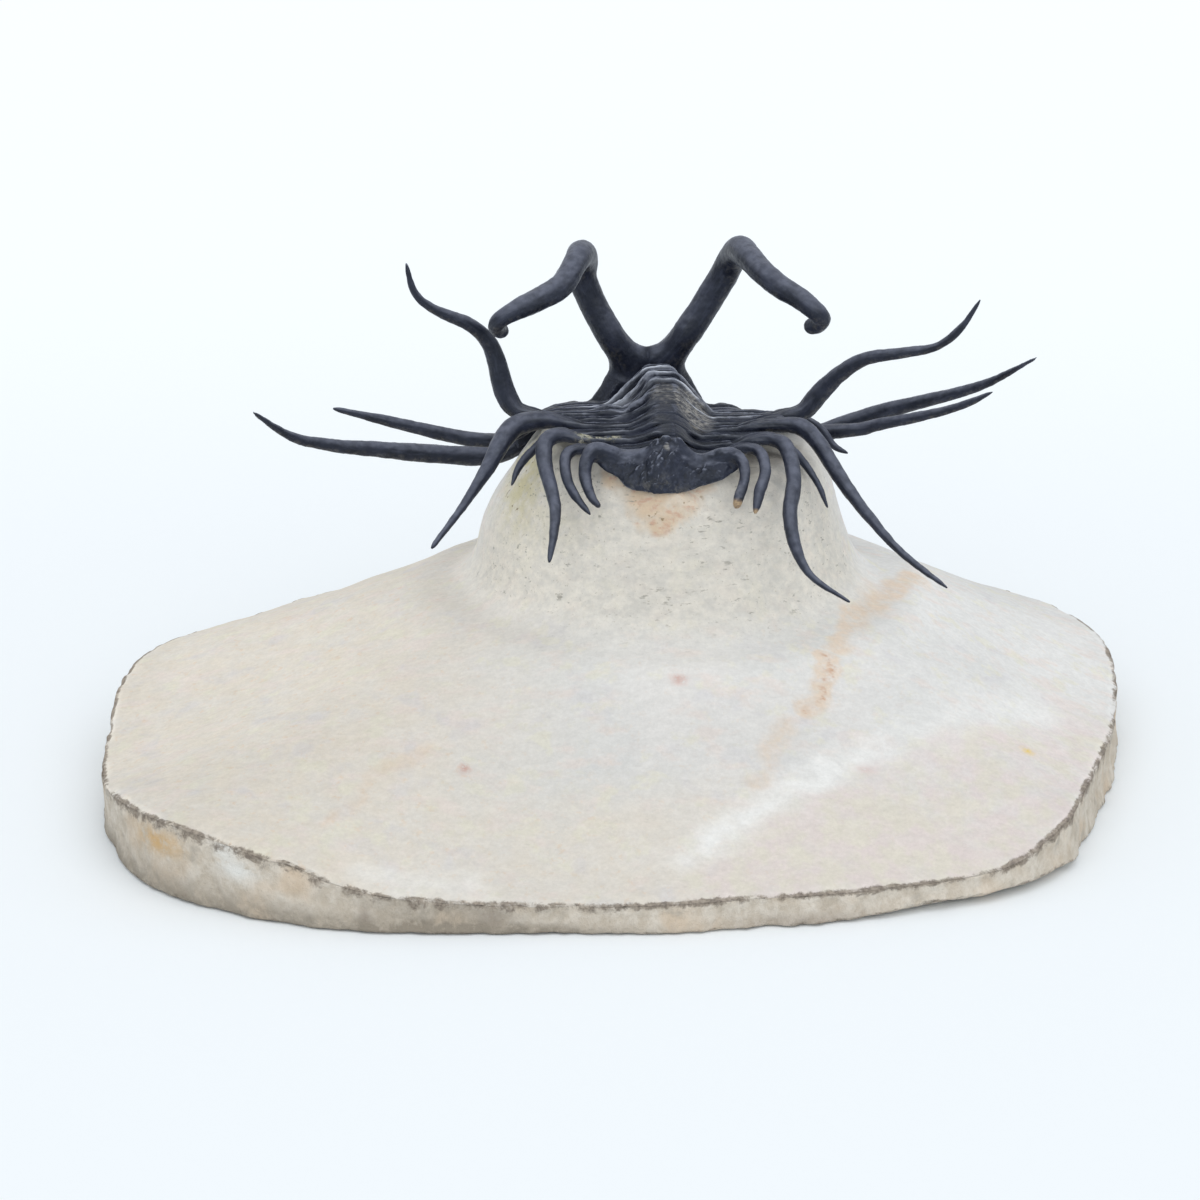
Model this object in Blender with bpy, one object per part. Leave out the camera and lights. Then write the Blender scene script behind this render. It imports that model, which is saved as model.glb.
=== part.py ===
"""Dicranurus trilobite on the pedestal of limestone that it was prepared from.

The stone lies flat on z = 0 with its middle at the origin, long side along X.
The trilobite stands on a neck of the stone with its tail towards -Y, so the two
ram's horns behind its head rise at the far side and curl back towards -Y.
All sizes below are in millimetres and are turned into metres when meshes are made.
"""
import math

import bmesh
import bpy
import numpy as np
from mathutils import Vector

MM = 0.001
SHELL_COLOUR = (0.028, 0.028, 0.033, 1.0)
SHELL_ROUGHNESS = 0.45
STONE_COLOUR = (0.70, 0.65, 0.56, 1.0)
STONE_ROUGHNESS = 0.85
SHARP_ANGLE = math.radians(50.0)

# Where the trilobite's own frame stands: u across, s along the body to the head, h up
BODY_X = 4.25
BODY_Y = 7.0
BODY_TURN = math.radians(4.0)

# Thorax: nine segments, each a band with a spine at both ends
SEGMENTS = 9
FIRST_SEGMENT_S = 10.55
PITCH = 2.45
BAND_WIDTH = 2.1
BAND_THICK = 1.2
GAP = 0.3
STONE_CLEARANCE = 1.3
HEAD_CLEARANCE = 0.07
STONE_CROWN = 37.3
SHOULDER_DROP = 0.7

# The back of the animal, as the middle of its shell: at each place s along the body,
# the height of the axis, the height of the left and the right pleurae beside it, how far
# they droop DROOP_TO from the middle line, the half-width of the axis at its foot, and
# the share of that half-width that its crest takes
BACK = (
    (-14.3, 34.7, 34.2, 33.6, 0.0, 2.4, 0.3),
    (-12.9, 37.2, 35.9, 35.2, 0.0, 2.6, 0.3),
    (-11.5, 38.8, 37.8, 37.1, 0.0, 2.9, 0.3),
    (-9.05, 39.2, 37.9, 37.1, 0.0, 3.3, 0.3),
    (-6.60, 40.0, 38.4, 37.3, 0.0, 3.9, 0.3),
    (-4.15, 40.6, 38.5, 37.4, 0.0, 4.4, 0.3),
    (-1.70, 41.0, 38.4, 37.5, 0.0, 4.9, 0.3),
    (0.75, 41.4, 38.3, 37.5, 0.0, 5.4, 0.3),
    (3.20, 41.6, 38.2, 37.5, 0.2, 6.0, 0.3),
    (5.65, 41.4, 37.8, 37.1, 1.8, 6.2, 0.3),
    (8.10, 41.0, 37.2, 36.5, 3.1, 6.3, 0.3),
    (10.55, 40.5, 36.6, 35.9, 3.4, 6.4, 0.3),
    (12.00, 40.7, 36.2, 35.4, 4.2, 6.6, 0.6),
    (13.60, 41.1, 35.4, 34.7, 4.6, 6.6, 0.6),
    (15.0, 40.6, 34.6, 34.0, 4.8, 6.2, 0.5),
    (18.0, 38.4, 32.6, 32.0, 4.0, 6.0, 0.4),
    (21.0, 34.9, 30.4, 29.8, 2.6, 5.4, 0.4),
    (23.5, 30.6, 28.4, 27.8, 1.0, 4.4, 0.4),
    (24.8, 28.2, 27.5, 27.1, 0.3, 3.4, 0.4),
)
LEFT_DROOP = 0.6
DROOP_FROM = 9.0
DROOP_TO = 15.0
DROOP_POWER = 1.4
FLANK_HOLLOW = 1.4

# Head shield: half-width at each place along the body, and its shell's thickness
HEAD_PLAN = ((12.0, 14.8), (13.6, 15.6), (16.0, 15.0), (18.5, 13.2), (20.8, 10.6), (22.8, 7.4),
             (24.2, 4.0), (24.9, 1.2))
HEAD_THICK = 1.4
HEAD_ACROSS = 15
EYE_AT = (8.3, 16.2)
EYE_RADIUS = 1.25
EYE_RISE = 1.1
EYE_SINK = 0.4
# Rings of an eye, as shares of its radius and of its rise
EYE_RINGS = ((1.15, 0.0), (1.0, 0.7), (0.72, 1.3), (0.3, 1.55))
BORDER_SPINES = 5
BORDER_SPINE_LENGTH = 2.4
BORDER_SPINE_ROOT = 0.42
BORDER_SPINE_INSET = 0.7
FIRST_BORDER_S = 15.6
LAST_BORDER_S = 24.0

# Tail shield
TAIL_PLAN = ((-10.5, 8.0), (-11.5, 8.1), (-12.3, 7.4), (-12.9, 5.8), (-13.6, 3.4), (-14.2, 1.0))
TAIL_THICK = 1.3
TAIL_ACROSS = 11

# Spines, from the band outwards: u, s, h and diameter, left side first
SPINES = {
    1: (((-13.4, 10.8, 34.7, 1.3), (-15.4, 10.8, 33.1, 0.9), (-17.0, 10.5, 31.3, 0.4)),
        ((13.4, 10.8, 34.0, 1.3), (15.4, 10.8, 32.8, 0.9), (17.0, 10.5, 31.5, 0.4))),
    2: (((-14.0, 8.1, 34.9, 1.8), (-17.0, 8.0, 33.6, 1.8), (-20.3, 7.6, 33.8, 1.7),
         (-23.6, 7.1, 34.7, 1.5), (-29.0, 6.0, 36.4, 1.2), (-35.2, 4.5, 38.6, 0.5)),
        ((14.2, 7.8, 34.9, 1.8), (17.2, 7.3, 34.0, 1.8), (21.9, 6.0, 34.4, 1.7),
         (24.6, 5.0, 35.3, 1.6), (29.7, 2.6, 37.4, 1.4), (33.3, 0.9, 38.8, 1.1), (36.1, -0.5, 40.5, 0.4))),
    3: (((-13.8, 5.6, 36.5, 1.5), (-15.8, 5.4, 35.5, 1.1), (-17.6, 5.0, 34.2, 0.4)),
        ((14.0, 5.6, 36.5, 1.4), (16.2, 5.5, 36.0, 1.1), (18.2, 5.0, 34.8, 0.9), (19.4, 4.0, 33.3, 0.8),
         (20.9, 3.3, 32.6, 0.4))),
    4: (((-13.2, 3.3, 38.0, 2.5), (-15.3, 3.8, 38.3, 2.7), (-16.4, 4.4, 40.2, 2.7), (-17.2, 4.8, 43.5, 2.4),
         (-18.4, 4.6, 45.9, 2.0), (-20.5, 3.9, 47.6, 1.8), (-24.7, 3.1, 49.9, 1.4), (-26.4, 3.0, 52.0, 1.1),
         (-27.2, 3.3, 55.1, 0.4)),
        ((13.2, 3.1, 37.3, 2.5), (15.8, 3.0, 37.7, 2.7), (17.8, 2.6, 40.0, 2.6), (19.7, 1.8, 42.2, 2.3),
         (22.3, 0.6, 44.1, 2.0), (26.3, -1.0, 45.2, 1.8), (29.7, -2.1, 46.3, 1.5), (32.2, -2.9, 48.7, 1.2),
         (34.0, -3.2, 51.7, 0.4))),
    5: (((-12.2, 0.7, 37.9, 1.4), (-13.6, 0.6, 37.5, 0.9), (-14.8, 0.4, 36.9, 0.4)),
        ((12.2, 0.6, 37.8, 1.4), (13.6, 0.4, 37.4, 0.9), (14.8, 0.1, 36.8, 0.4))),
    6: (((-9.9, -1.7, 38.5, 2.2), (-12.6, -1.9, 38.9, 2.4), (-15.3, -2.7, 38.7, 2.4),
         (-17.0, -4.2, 37.8, 2.3),
         (-19.0, -7.1, 35.3, 1.9), (-21.9, -10.3, 32.0, 1.4), (-25.3, -13.7, 28.7, 0.5)),
        ((9.9, -1.8, 37.8, 2.1), (13.2, -2.4, 38.0, 2.0), (15.2, -3.4, 37.8, 2.0), (16.7, -5.0, 36.5, 2.0),
         (18.7, -8.0, 33.6, 1.8), (21.0, -11.1, 30.8, 1.6), (24.4, -15.2, 27.4, 1.2),
         (28.9, -19.1, 24.8, 0.4))),
    7: (((-10.6, -4.2, 38.0, 1.4), (-12.6, -4.5, 37.0, 1.1), (-14.0, -5.4, 35.6, 0.9),
         (-15.0, -6.4, 34.5, 0.8),
         (-16.1, -7.9, 33.3, 0.4)),
        ((10.6, -4.2, 37.3, 1.4), (12.5, -5.0, 37.0, 1.1), (14.0, -6.2, 36.1, 1.0), (15.6, -7.2, 34.7, 0.9),
         (16.7, -8.4, 33.0, 0.8), (17.4, -9.6, 30.8, 0.4))),
    8: (((-9.0, -6.6, 38.3, 2.0), (-11.2, -6.7, 38.8, 1.9), (-12.9, -7.9, 38.2, 1.9),
         (-13.0, -10.3, 36.2, 1.7),
         (-12.3, -14.4, 33.4, 1.4), (-12.3, -17.2, 31.1, 1.0), (-12.9, -19.3, 28.8, 0.4)),
        ((9.0, -6.7, 37.8, 2.0), (11.2, -7.0, 37.9, 1.8), (12.8, -8.6, 37.3, 1.8), (13.2, -12.3, 34.9, 1.7),
         (12.6, -15.5, 32.1, 1.6), (13.0, -18.2, 29.3, 1.4), (14.4, -20.5, 27.0, 1.1),
         (18.0, -23.5, 25.1, 0.4))),
    9: (((-8.2, -9.0, 37.9, 1.7), (-10.0, -9.3, 37.9, 1.3), (-10.9, -10.3, 37.2, 1.3),
         (-10.9, -12.0, 35.8, 1.2),
         (-10.1, -13.6, 34.2, 1.0), (-8.6, -15.4, 32.6, 0.5)),
        ((7.4, -9.1, 37.6, 1.7), (9.0, -9.5, 37.7, 1.3), (9.9, -10.7, 37.3, 1.3), (10.1, -12.9, 36.1, 1.3),
         (9.6, -14.9, 34.5, 1.2), (8.8, -16.7, 32.8, 0.8))),
}
TAIL_SPINES = (
    ((-6.0, -11.2, 38.0, 1.8), (-7.7, -11.3, 38.4, 2.0), (-8.7, -11.9, 37.6, 1.6), (-9.0, -13.1, 36.0, 1.4),
     (-8.5, -14.7, 34.5, 1.1), (-7.7, -15.8, 33.6, 0.6)),
    ((5.2, -11.3, 37.5, 1.8), (6.7, -11.6, 37.8, 1.7), (7.7, -12.5, 37.2, 1.4), (7.8, -14.1, 35.9, 1.2),
     (7.3, -15.5, 34.5, 1.0), (6.7, -16.6, 33.3, 0.8)),
)
GENAL_SPINES = (
    ((-12.0, 14.4, 33.1, 1.9), (-15.2, 14.4, 30.4, 2.2), (-18.9, 14.4, 29.6, 2.3), (-24.5, 13.7, 30.2, 2.2),
     (-30.0, 12.5, 31.2, 1.9), (-35.6, 11.1, 32.3, 1.5), (-39.9, 9.4, 34.0, 1.0), (-44.0, 7.1, 37.6, 0.4)),
    ((12.0, 14.2, 33.1, 1.9), (15.4, 13.7, 31.1, 2.2), (18.9, 12.9, 31.8, 2.3), (22.2, 12.3, 33.2, 2.1),
     (25.4, 11.3, 34.7, 1.9), (30.6, 9.1, 36.7, 1.6), (36.2, 5.9, 39.4, 1.1), (41.3, 2.1, 43.5, 0.4)),
)
HORNS = (
    ((-2.3, 14.2, 40.0, 4.2), (-3.2, 13.6, 41.7, 3.8), (-4.4, 13.1, 43.6, 3.3), (-5.6, 13.5, 45.7, 3.1),
     (-6.7, 13.9, 47.9, 3.0), (-7.5, 13.9, 50.2, 2.9), (-7.6, 13.0, 52.4, 2.9), (-7.5, 10.6, 54.0, 2.9),
     (-8.5, 7.6, 53.6, 2.8), (-10.5, 4.8, 52.1, 2.7), (-12.8, 2.7, 51.1, 2.5), (-14.9, 1.1, 50.6, 2.3),
     (-16.8, 0.0, 49.9, 2.1), (-17.6, 0.5, 48.9, 1.9), (-17.3, 1.9, 47.9, 1.6), (-16.6, 3.1, 47.3, 1.1)),
    ((1.6, 14.2, 40.0, 4.2), (2.6, 13.5, 41.7, 3.8), (3.9, 13.0, 43.7, 3.4), (5.3, 13.2, 45.8, 3.2),
     (6.6, 13.5, 47.9, 3.1), (7.9, 13.4, 50.1, 3.1), (8.9, 12.4, 52.5, 3.0), (9.6, 9.9, 54.2, 3.0),
     (10.1, 6.8, 54.2, 2.8), (11.3, 3.7, 53.4, 2.7), (13.0, 1.2, 52.4, 2.6), (14.9, -0.8, 51.5, 2.4),
     (16.4, -2.1, 50.5, 2.1), (17.2, -1.8, 49.5, 1.9), (16.8, -0.4, 48.4, 1.7), (15.8, 0.9, 47.9, 1.3)),
)
# Ridge that joins the roots of the horns, on the ring behind the head
BRIDGE = ((-3.2, 13.7, 40.4, 2.6), (-1.4, 13.5, 41.0, 2.7), (1.2, 13.5, 41.0, 2.7), (2.8, 13.7, 40.4, 2.6))

# Stone: points round its edge as x, y and the height of the upper edge there
RIM = (
    (-6.0, -44.2, 3.2), (13.0, -42.2, 3.4), (28.0, -38.4, 3.0), (40.0, -32.8, 2.9), (46.3, -27.4, 5.4),
    (49.6, -20.2, 6.4), (52.0, -10.0, 6.2), (53.8, 2.0, 6.2), (55.4, 12.0, 7.4), (54.8, 21.0, 8.6),
    (51.2, 30.0, 9.6), (45.0, 37.2, 10.0), (34.0, 41.3, 9.8), (19.0, 43.2, 9.6), (1.0, 42.8, 9.8),
    (-17.0, 40.3, 10.0), (-32.0, 35.4, 10.2), (-44.0, 26.0, 10.4), (-51.4, 13.0, 10.0), (-54.4, 2.0, 8.0),
    (-55.4, -10.0, 6.4), (-54.6, -19.0, 6.4), (-51.4, -27.8, 8.4), (-47.8, -33.2, 9.6), (-42.6, -37.0, 9.0),
    (-33.0, -41.6, 7.0), (-26.0, -43.2, 4.9), (-16.0, -44.1, 3.7),
)
STONE_SIDES = 52
NECK_U = 2.0
NECK_S = 5.0
# Neck of the stone: half-widths right, head, left and tail, with the share of the way down
NECK_RINGS = (
    (0.00, 15.3, 18.2, 15.0, 18.3),
    (0.07, 16.4, 19.0, 16.2, 19.1),
    (0.30, 17.3, 19.8, 19.0, 19.9),
    (0.55, 18.4, 20.8, 21.0, 20.9),
    (0.80, 20.0, 22.2, 22.2, 22.6),
    (0.93, 22.4, 24.2, 24.2, 25.2),
)
# Power of the neck's oval: the head's end is leaner than a true ellipse, under the cheeks
HEAD_END_POWER = 1.6
FOOT = (26.0, 27.2, 27.6, 28.6)
FOOT_HEIGHT = (19.0, 17.6, 19.2, 18.6)
HILL_STEPS = 7
HILL_POWER = 1.12
TOP_STEPS = (0.0, 0.16, 0.32, 0.48, 0.64, 0.8, 0.92)
EDGE_ROUND = 0.7
LEAN = 0.7
BASE_INSET = 0.9
BASE_LIFT = 0.8

SPINE_STEP = 1.9
HORN_STEP = 2.0
GENAL_STEP = 3.4
TAIL_SPINE_STEP = 1.2
TUBE_SIDES = 8
BORDER_SPINE_SIDES = 5
EYE_SIDES = 10


def section_value(table, s):
    """Values of a table, whose first column is s, at one place along the body."""
    rows = np.array(table)
    return [float(np.interp(s, rows[:, 0], rows[:, i])) for i in range(1, rows.shape[1])]


def back_height(u, s):
    """Height of the middle of the shell at one place of the back."""
    crest, left, right, droop, half, crest_share = section_value(BACK, s)
    side = right if u > 0.0 else left
    drop = droop * (1.0 if u > 0.0 else LEFT_DROOP)
    flat = half * crest_share
    share = min(1.0, max(0.0, (half - abs(u)) / (half - flat)))
    out = max(0.0, (abs(u) - DROOP_FROM) / (DROOP_TO - DROOP_FROM))
    return side - drop * out ** DROOP_POWER + (crest - side) * share ** FLANK_HOLLOW


def spline(points, step):
    """Evenly spaced points, about step apart, on a smooth curve through hand-set points."""
    rows = np.array(points, dtype=float)
    ends = np.vstack([2.0 * rows[0] - rows[1], rows, 2.0 * rows[-1] - rows[-2]])
    fine = []
    for i in range(1, len(ends) - 2):
        p0, p1, p2, p3 = ends[i - 1], ends[i], ends[i + 1], ends[i + 2]
        for t in np.linspace(0.0, 1.0, 12, endpoint=False):
            fine.append(0.5 * (2.0 * p1 + (p2 - p0) * t + (2.0 * p0 - 5.0 * p1 + 4.0 * p2 - p3) * t * t
                               + (3.0 * p1 - p0 - 3.0 * p2 + p3) * t ** 3))
    fine.append(ends[-2])
    fine = np.array(fine)
    run = np.concatenate([[0.0], np.cumsum(np.linalg.norm(np.diff(fine[:, :3], axis=0), axis=1))])
    count = max(3, int(round(run[-1] / step)) + 1)
    wanted = np.linspace(0.0, run[-1], count)
    return np.array([[np.interp(w, run, fine[:, c]) for c in range(fine.shape[1])] for w in wanted])


def tube_rings(bm, rows, sides, start_across):
    """Rings of a tube through rows of u, s, h, width and thickness, without twist."""
    centres = [Vector(r[:3]) for r in rows]
    tangents = [(centres[min(i + 1, len(rows) - 1)] - centres[max(i - 1, 0)]).normalized()
                for i in range(len(rows))]
    across = start_across - tangents[0] * start_across.dot(tangents[0])
    rings = []
    for i, row in enumerate(rows):
        if i:
            across = tangents[i - 1].rotation_difference(tangents[i]) @ across
        across = (across - tangents[i] * across.dot(tangents[i])).normalized()
        normal = tangents[i].cross(across)
        ring = []
        for k in range(sides):
            angle = 2.0 * math.pi * (k + 0.5) / sides
            wide = across * (0.5 * row[3] * math.cos(angle))
            deep = normal * (0.5 * row[4] * math.sin(angle))
            ring.append(bm.verts.new(centres[i] + wide + deep))
        rings.append(ring)
    return rings


def close_loft(bm, rings):
    """Join rings into one closed body."""
    for low, high in zip(rings, rings[1:]):
        count = len(low)
        for k in range(count):
            bm.faces.new((low[k], low[(k + 1) % count], high[(k + 1) % count], high[k]))
    bm.faces.new(rings[0][::-1])
    bm.faces.new(rings[-1])


def new_object(name, bm, colour, roughness, parent=None):
    """Object of one closed mesh given in millimetres, with its own material if it is a node."""
    bmesh.ops.triangulate(bm, faces=bm.faces)
    bmesh.ops.recalc_face_normals(bm, faces=bm.faces)
    if bm.calc_volume(signed=True) < 0.0:
        bmesh.ops.reverse_faces(bm, faces=bm.faces)
    bmesh.ops.scale(bm, vec=(MM, MM, MM), verts=bm.verts)
    mesh = bpy.data.meshes.new(name)
    bm.to_mesh(mesh)
    bm.free()
    mesh.shade_smooth()
    mesh.set_sharp_from_angle(angle=SHARP_ANGLE)
    obj = bpy.data.objects.new(name, mesh)
    bpy.context.scene.collection.objects.link(obj)
    if parent:
        obj.parent = parent
    if colour:
        material = bpy.data.materials.new(name)
        material.use_nodes = True
        shader = material.node_tree.nodes["Principled BSDF"]
        shader.inputs["Base Color"].default_value = colour
        shader.inputs["Roughness"].default_value = roughness
        shader.inputs["Metallic"].default_value = 0.0
        mesh.materials.append(material)
    return obj


def join_to(target, pieces):
    """Grow the pieces onto the target, so that they are one body.

    The exact solver loses the shield where small spines cross its thin margin, so this
    takes the manifold one. Every mesh here is closed.
    """
    for number, piece in enumerate(pieces):
        piece.hide_render = True
        piece.display_type = "WIRE"
        union = target.modifiers.new(f"grow_{number}", "BOOLEAN")
        union.operation = "UNION"
        union.solver = "MANIFOLD"
        union.object = piece


def tube_object(name, rows, sides=TUBE_SIDES, parent=None):
    """Closed tube through rows of u, s, h, width and thickness, to be grown onto a shield."""
    bm = bmesh.new()
    close_loft(bm, tube_rings(bm, rows, sides, Vector((0.0, 1.0, 0.0))))
    return new_object(name, bm, None, None, parent)


def round_rows(points, step=SPINE_STEP):
    """Rows for a round tube from hand-set points of u, s, h and diameter."""
    rows = spline(points, step)
    return np.hstack([rows, rows[:, 3:4]])


def band_half(s, side, last_u):
    """Points of one half of a band, from beside the middle line outwards."""
    half = section_value(BACK, s)[4]
    stops = [0.18 * half, 0.42 * half, 0.68 * half, half, half + 1.6]
    stops += [u for u in np.arange(half + 4.0, abs(last_u) - 1.0, 2.4)]
    return [(side * u, s, back_height(u, s), BAND_WIDTH, BAND_THICK) for u in stops]


def band_rows(s, spines):
    """Rows for a band with a spine at both ends, from the left tip to the right tip."""
    left, right = [[(u, a, h, d, d) for u, a, h, d in side] for side in spines]
    middle = [(0.0, s, back_height(0.0, s), BAND_WIDTH, BAND_THICK)]
    points = left[::-1] + band_half(s, -1, left[0][0])[::-1] + middle + band_half(s, 1, right[0][0]) + right
    return spline(points, SPINE_STEP)


def band_mesh(bm, rows):
    """Closed band whose rings are carried from the middle line out to both tips."""
    middle = len(rows) // 2
    across = Vector((0.0, 1.0, 0.0))
    right = tube_rings(bm, rows[middle:], TUBE_SIDES, across)
    left = tube_rings(bm, rows[:middle][::-1], TUBE_SIDES, across)
    count = TUBE_SIDES
    mirrored = [[ring[count - 1 - k] for k in range(count)] for ring in left]
    rings = mirrored[::-1] + right
    close_loft(bm, rings)


def make_segment(number, parent):
    """One thoracic segment: ring, pleurae and the pair of spines that they end in."""
    s = FIRST_SEGMENT_S - PITCH * (number - 1)
    bm = bmesh.new()
    band_mesh(bm, band_rows(s, SPINES[number]))
    return new_object(f"thoracic_segment_{number}", bm, SHELL_COLOUR, SHELL_ROUGHNESS, parent)


def shield(bm, plan, thick, across):
    """Closed plate of the back's form, with the outline that the plan gives."""
    rings = []
    for s, half in plan:
        spread = [math.sin(math.pi * k / (across - 1)) for k in range(-(across // 2), across // 2 + 1)]
        top = [Vector((half * x, s, back_height(half * x, s) + 0.5 * thick * math.cos(0.5 * math.pi * x)))
               for x in spread]
        low = [Vector((half * x, s, back_height(half * x, s) - 0.5 * thick * math.cos(0.5 * math.pi * x)))
               for x in spread[1:-1]]
        rings.append([bm.verts.new(p) for p in top + low[::-1]])
    close_loft(bm, rings)


def make_eye(name, side, parent):
    """Eye: a short turret with a domed top."""
    u, s = EYE_AT
    base = back_height(side * u, s) - EYE_SINK
    profile = [(EYE_RADIUS * wide, EYE_RISE * high) for wide, high in EYE_RINGS]
    bm = bmesh.new()
    turns = [2.0 * math.pi * k / EYE_SIDES for k in range(EYE_SIDES)]
    rings = [[bm.verts.new((side * u + r * math.cos(a), s + r * math.sin(a), base + h)) for a in turns]
             for r, h in profile]
    close_loft(bm, rings)
    return new_object(name, bm, None, None, parent)


def border_spine_points(side, share):
    """A short spine on the head's border, pointing out and down."""
    s = FIRST_BORDER_S + share * (LAST_BORDER_S - FIRST_BORDER_S)
    half = section_value(HEAD_PLAN, s)[0]
    h = back_height(side * half, s)
    lean = Vector((side * (1.0 - 0.75 * share), 0.25 + 0.7 * share, -0.55)).normalized()
    root = Vector((side * (half - BORDER_SPINE_INSET), s, h + 0.1))
    tip = root + lean * (BORDER_SPINE_LENGTH + BORDER_SPINE_INSET)
    middle = root.lerp(tip, 0.55) + Vector((0.0, 0.0, 0.12))
    return [(*root, 2.0 * BORDER_SPINE_ROOT), (*middle, 1.3 * BORDER_SPINE_ROOT), (*tip, 0.2)]


def make_head(parent):
    """Head shield with the horns, cheek spines, eyes and border spines that grow from it."""
    bm = bmesh.new()
    shield(bm, HEAD_PLAN, HEAD_THICK, HEAD_ACROSS)
    head = new_object("cephalon", bm, SHELL_COLOUR, SHELL_ROUGHNESS, parent)
    grown = [tube_object("bridge", round_rows(BRIDGE, HORN_STEP), parent=parent)]
    for pick, (side, word) in enumerate(((-1, "left"), (1, "right"))):
        grown.append(tube_object(f"horn_{word}", round_rows(HORNS[pick], HORN_STEP), parent=parent))
        grown.append(tube_object(f"genal_{word}", round_rows(GENAL_SPINES[pick], GENAL_STEP), parent=parent))
        grown.append(make_eye(f"eye_{word}", side, parent))
        for k in range(BORDER_SPINES):
            points = border_spine_points(side, k / (BORDER_SPINES - 1.0))
            rows = round_rows(points, BORDER_SPINE_LENGTH)
            grown.append(tube_object(f"border_{word}_{k}", rows, BORDER_SPINE_SIDES, parent))
    join_to(head, grown)
    return head


def make_tail(parent):
    """Tail shield with its pair of short spines."""
    bm = bmesh.new()
    shield(bm, TAIL_PLAN, TAIL_THICK, TAIL_ACROSS)
    tail = new_object("pygidium", bm, SHELL_COLOUR, SHELL_ROUGHNESS, parent)
    grown = [tube_object(f"tail_spine_{k}", round_rows(points, TAIL_SPINE_STEP), parent=parent)
             for k, points in enumerate(TAIL_SPINES)]
    join_to(tail, grown)
    return tail


def to_world(u, s):
    """World x and y of a place in the trilobite's frame."""
    c, d = math.cos(BODY_TURN), math.sin(BODY_TURN)
    return BODY_X + u * c - s * d, BODY_Y + u * d + s * c


def rim_at(angle, centre):
    """Distance from the neck's centre to the rim, and the rim's height, in one direction."""
    rows = np.array(RIM)
    offset = rows[:, :2] - np.array(centre)
    bearings = np.unwrap(np.arctan2(offset[:, 1], offset[:, 0]))
    radii = np.hypot(offset[:, 0], offset[:, 1])
    wrapped = bearings[0] + (angle - bearings[0]) % (2.0 * math.pi)
    bearings = np.append(bearings, bearings[0] + 2.0 * math.pi)
    radius = np.interp(wrapped, bearings, np.append(radii, radii[0]))
    height = np.interp(wrapped, bearings, np.append(rows[:, 2], rows[0, 2]))
    return float(radius), float(height)


def by_direction(values, bearing):
    """Blend of four values that hold to the right, head, left and tail of the neck."""
    right, head, left, tail = values
    c, d = math.cos(bearing), math.sin(bearing)
    return (right if c > 0 else left) * c * c + (head if d > 0 else tail) * d * d


def oval_radius(values, bearing):
    """Radius of an oval whose four half-widths are given."""
    right, head, left, tail = values
    c, d = math.cos(bearing), math.sin(bearing)
    a = right if c > 0 else left
    b = head if d > 0 else tail
    power = HEAD_END_POWER if d > 0 else 2.0
    return ((abs(c) / a) ** power + (abs(d) / b) ** power) ** (-1.0 / power)


def stone_top(u, s):
    """Height of the stone under the trilobite."""
    clearance = GAP + STONE_CLEARANCE + HEAD_CLEARANCE * max(0.0, s - HEAD_PLAN[0][0])
    return min(STONE_CROWN, back_height(u, s) - 0.5 * BAND_THICK - clearance)


def stone_column(angle, centre):
    """Points of the stone's skin in one direction, from beside the middle down to the base."""
    bearing = angle - BODY_TURN
    cx, cy = centre
    points = []

    def place(radius, height):
        points.append((cx + radius * math.cos(angle), cy + radius * math.sin(angle), height))

    top_radius = oval_radius(NECK_RINGS[0][1:], bearing)
    for share in TOP_STEPS[1:]:
        radius = share * top_radius
        u = NECK_U + radius * math.cos(bearing)
        s = NECK_S + radius * math.sin(bearing)
        place(radius, stone_top(u, s))
    u = NECK_U + top_radius * math.cos(bearing)
    s = NECK_S + top_radius * math.sin(bearing)
    shoulder = stone_top(u, s) - SHOULDER_DROP
    foot_height = by_direction(FOOT_HEIGHT, bearing)
    foot_radius = oval_radius(FOOT, bearing)
    for drop, *widths in NECK_RINGS:
        place(oval_radius(widths, bearing), shoulder + (foot_height - shoulder) * drop)
    rim_radius, rim_height = rim_at(angle, centre)
    for k in range(HILL_STEPS):
        share = k / HILL_STEPS
        radius = foot_radius + (rim_radius - LEAN - EDGE_ROUND - foot_radius) * share
        place(radius, rim_height + (foot_height - rim_height) * (1.0 - share) ** HILL_POWER)
    place(rim_radius - LEAN - EDGE_ROUND, rim_height)
    place(rim_radius - LEAN, rim_height - EDGE_ROUND)
    place(rim_radius, BASE_LIFT)
    place(rim_radius - BASE_INSET, 0.0)
    return points


def make_stone():
    """The limestone: a slab that rises as a low hill to a steep neck under the trilobite."""
    centre = to_world(NECK_U, NECK_S)
    bm = bmesh.new()
    columns = [stone_column(2.0 * math.pi * k / STONE_SIDES, centre) for k in range(STONE_SIDES)]
    grid = [[bm.verts.new(p) for p in column] for column in columns]
    crown = bm.verts.new((*centre, stone_top(NECK_U, NECK_S)))
    for k in range(STONE_SIDES):
        here, there = grid[k], grid[(k + 1) % STONE_SIDES]
        bm.faces.new((crown, here[0], there[0]))
        for j in range(len(here) - 1):
            bm.faces.new((here[j], here[j + 1], there[j + 1], there[j]))
    bm.faces.new([column[-1] for column in grid][::-1])
    return new_object("matrix", bm, STONE_COLOUR, STONE_ROUGHNESS)


def main():
    for obj in list(bpy.data.objects):
        bpy.data.objects.remove(obj, do_unlink=True)
    make_stone()
    body = bpy.data.objects.new("trilobite", None)
    body.location = (BODY_X * MM, BODY_Y * MM, 0.0)
    body.rotation_euler = (0.0, 0.0, BODY_TURN)
    bpy.context.scene.collection.objects.link(body)
    make_head(body)
    for number in range(1, SEGMENTS + 1):
        make_segment(number, body)
    make_tail(body)


main()
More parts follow.
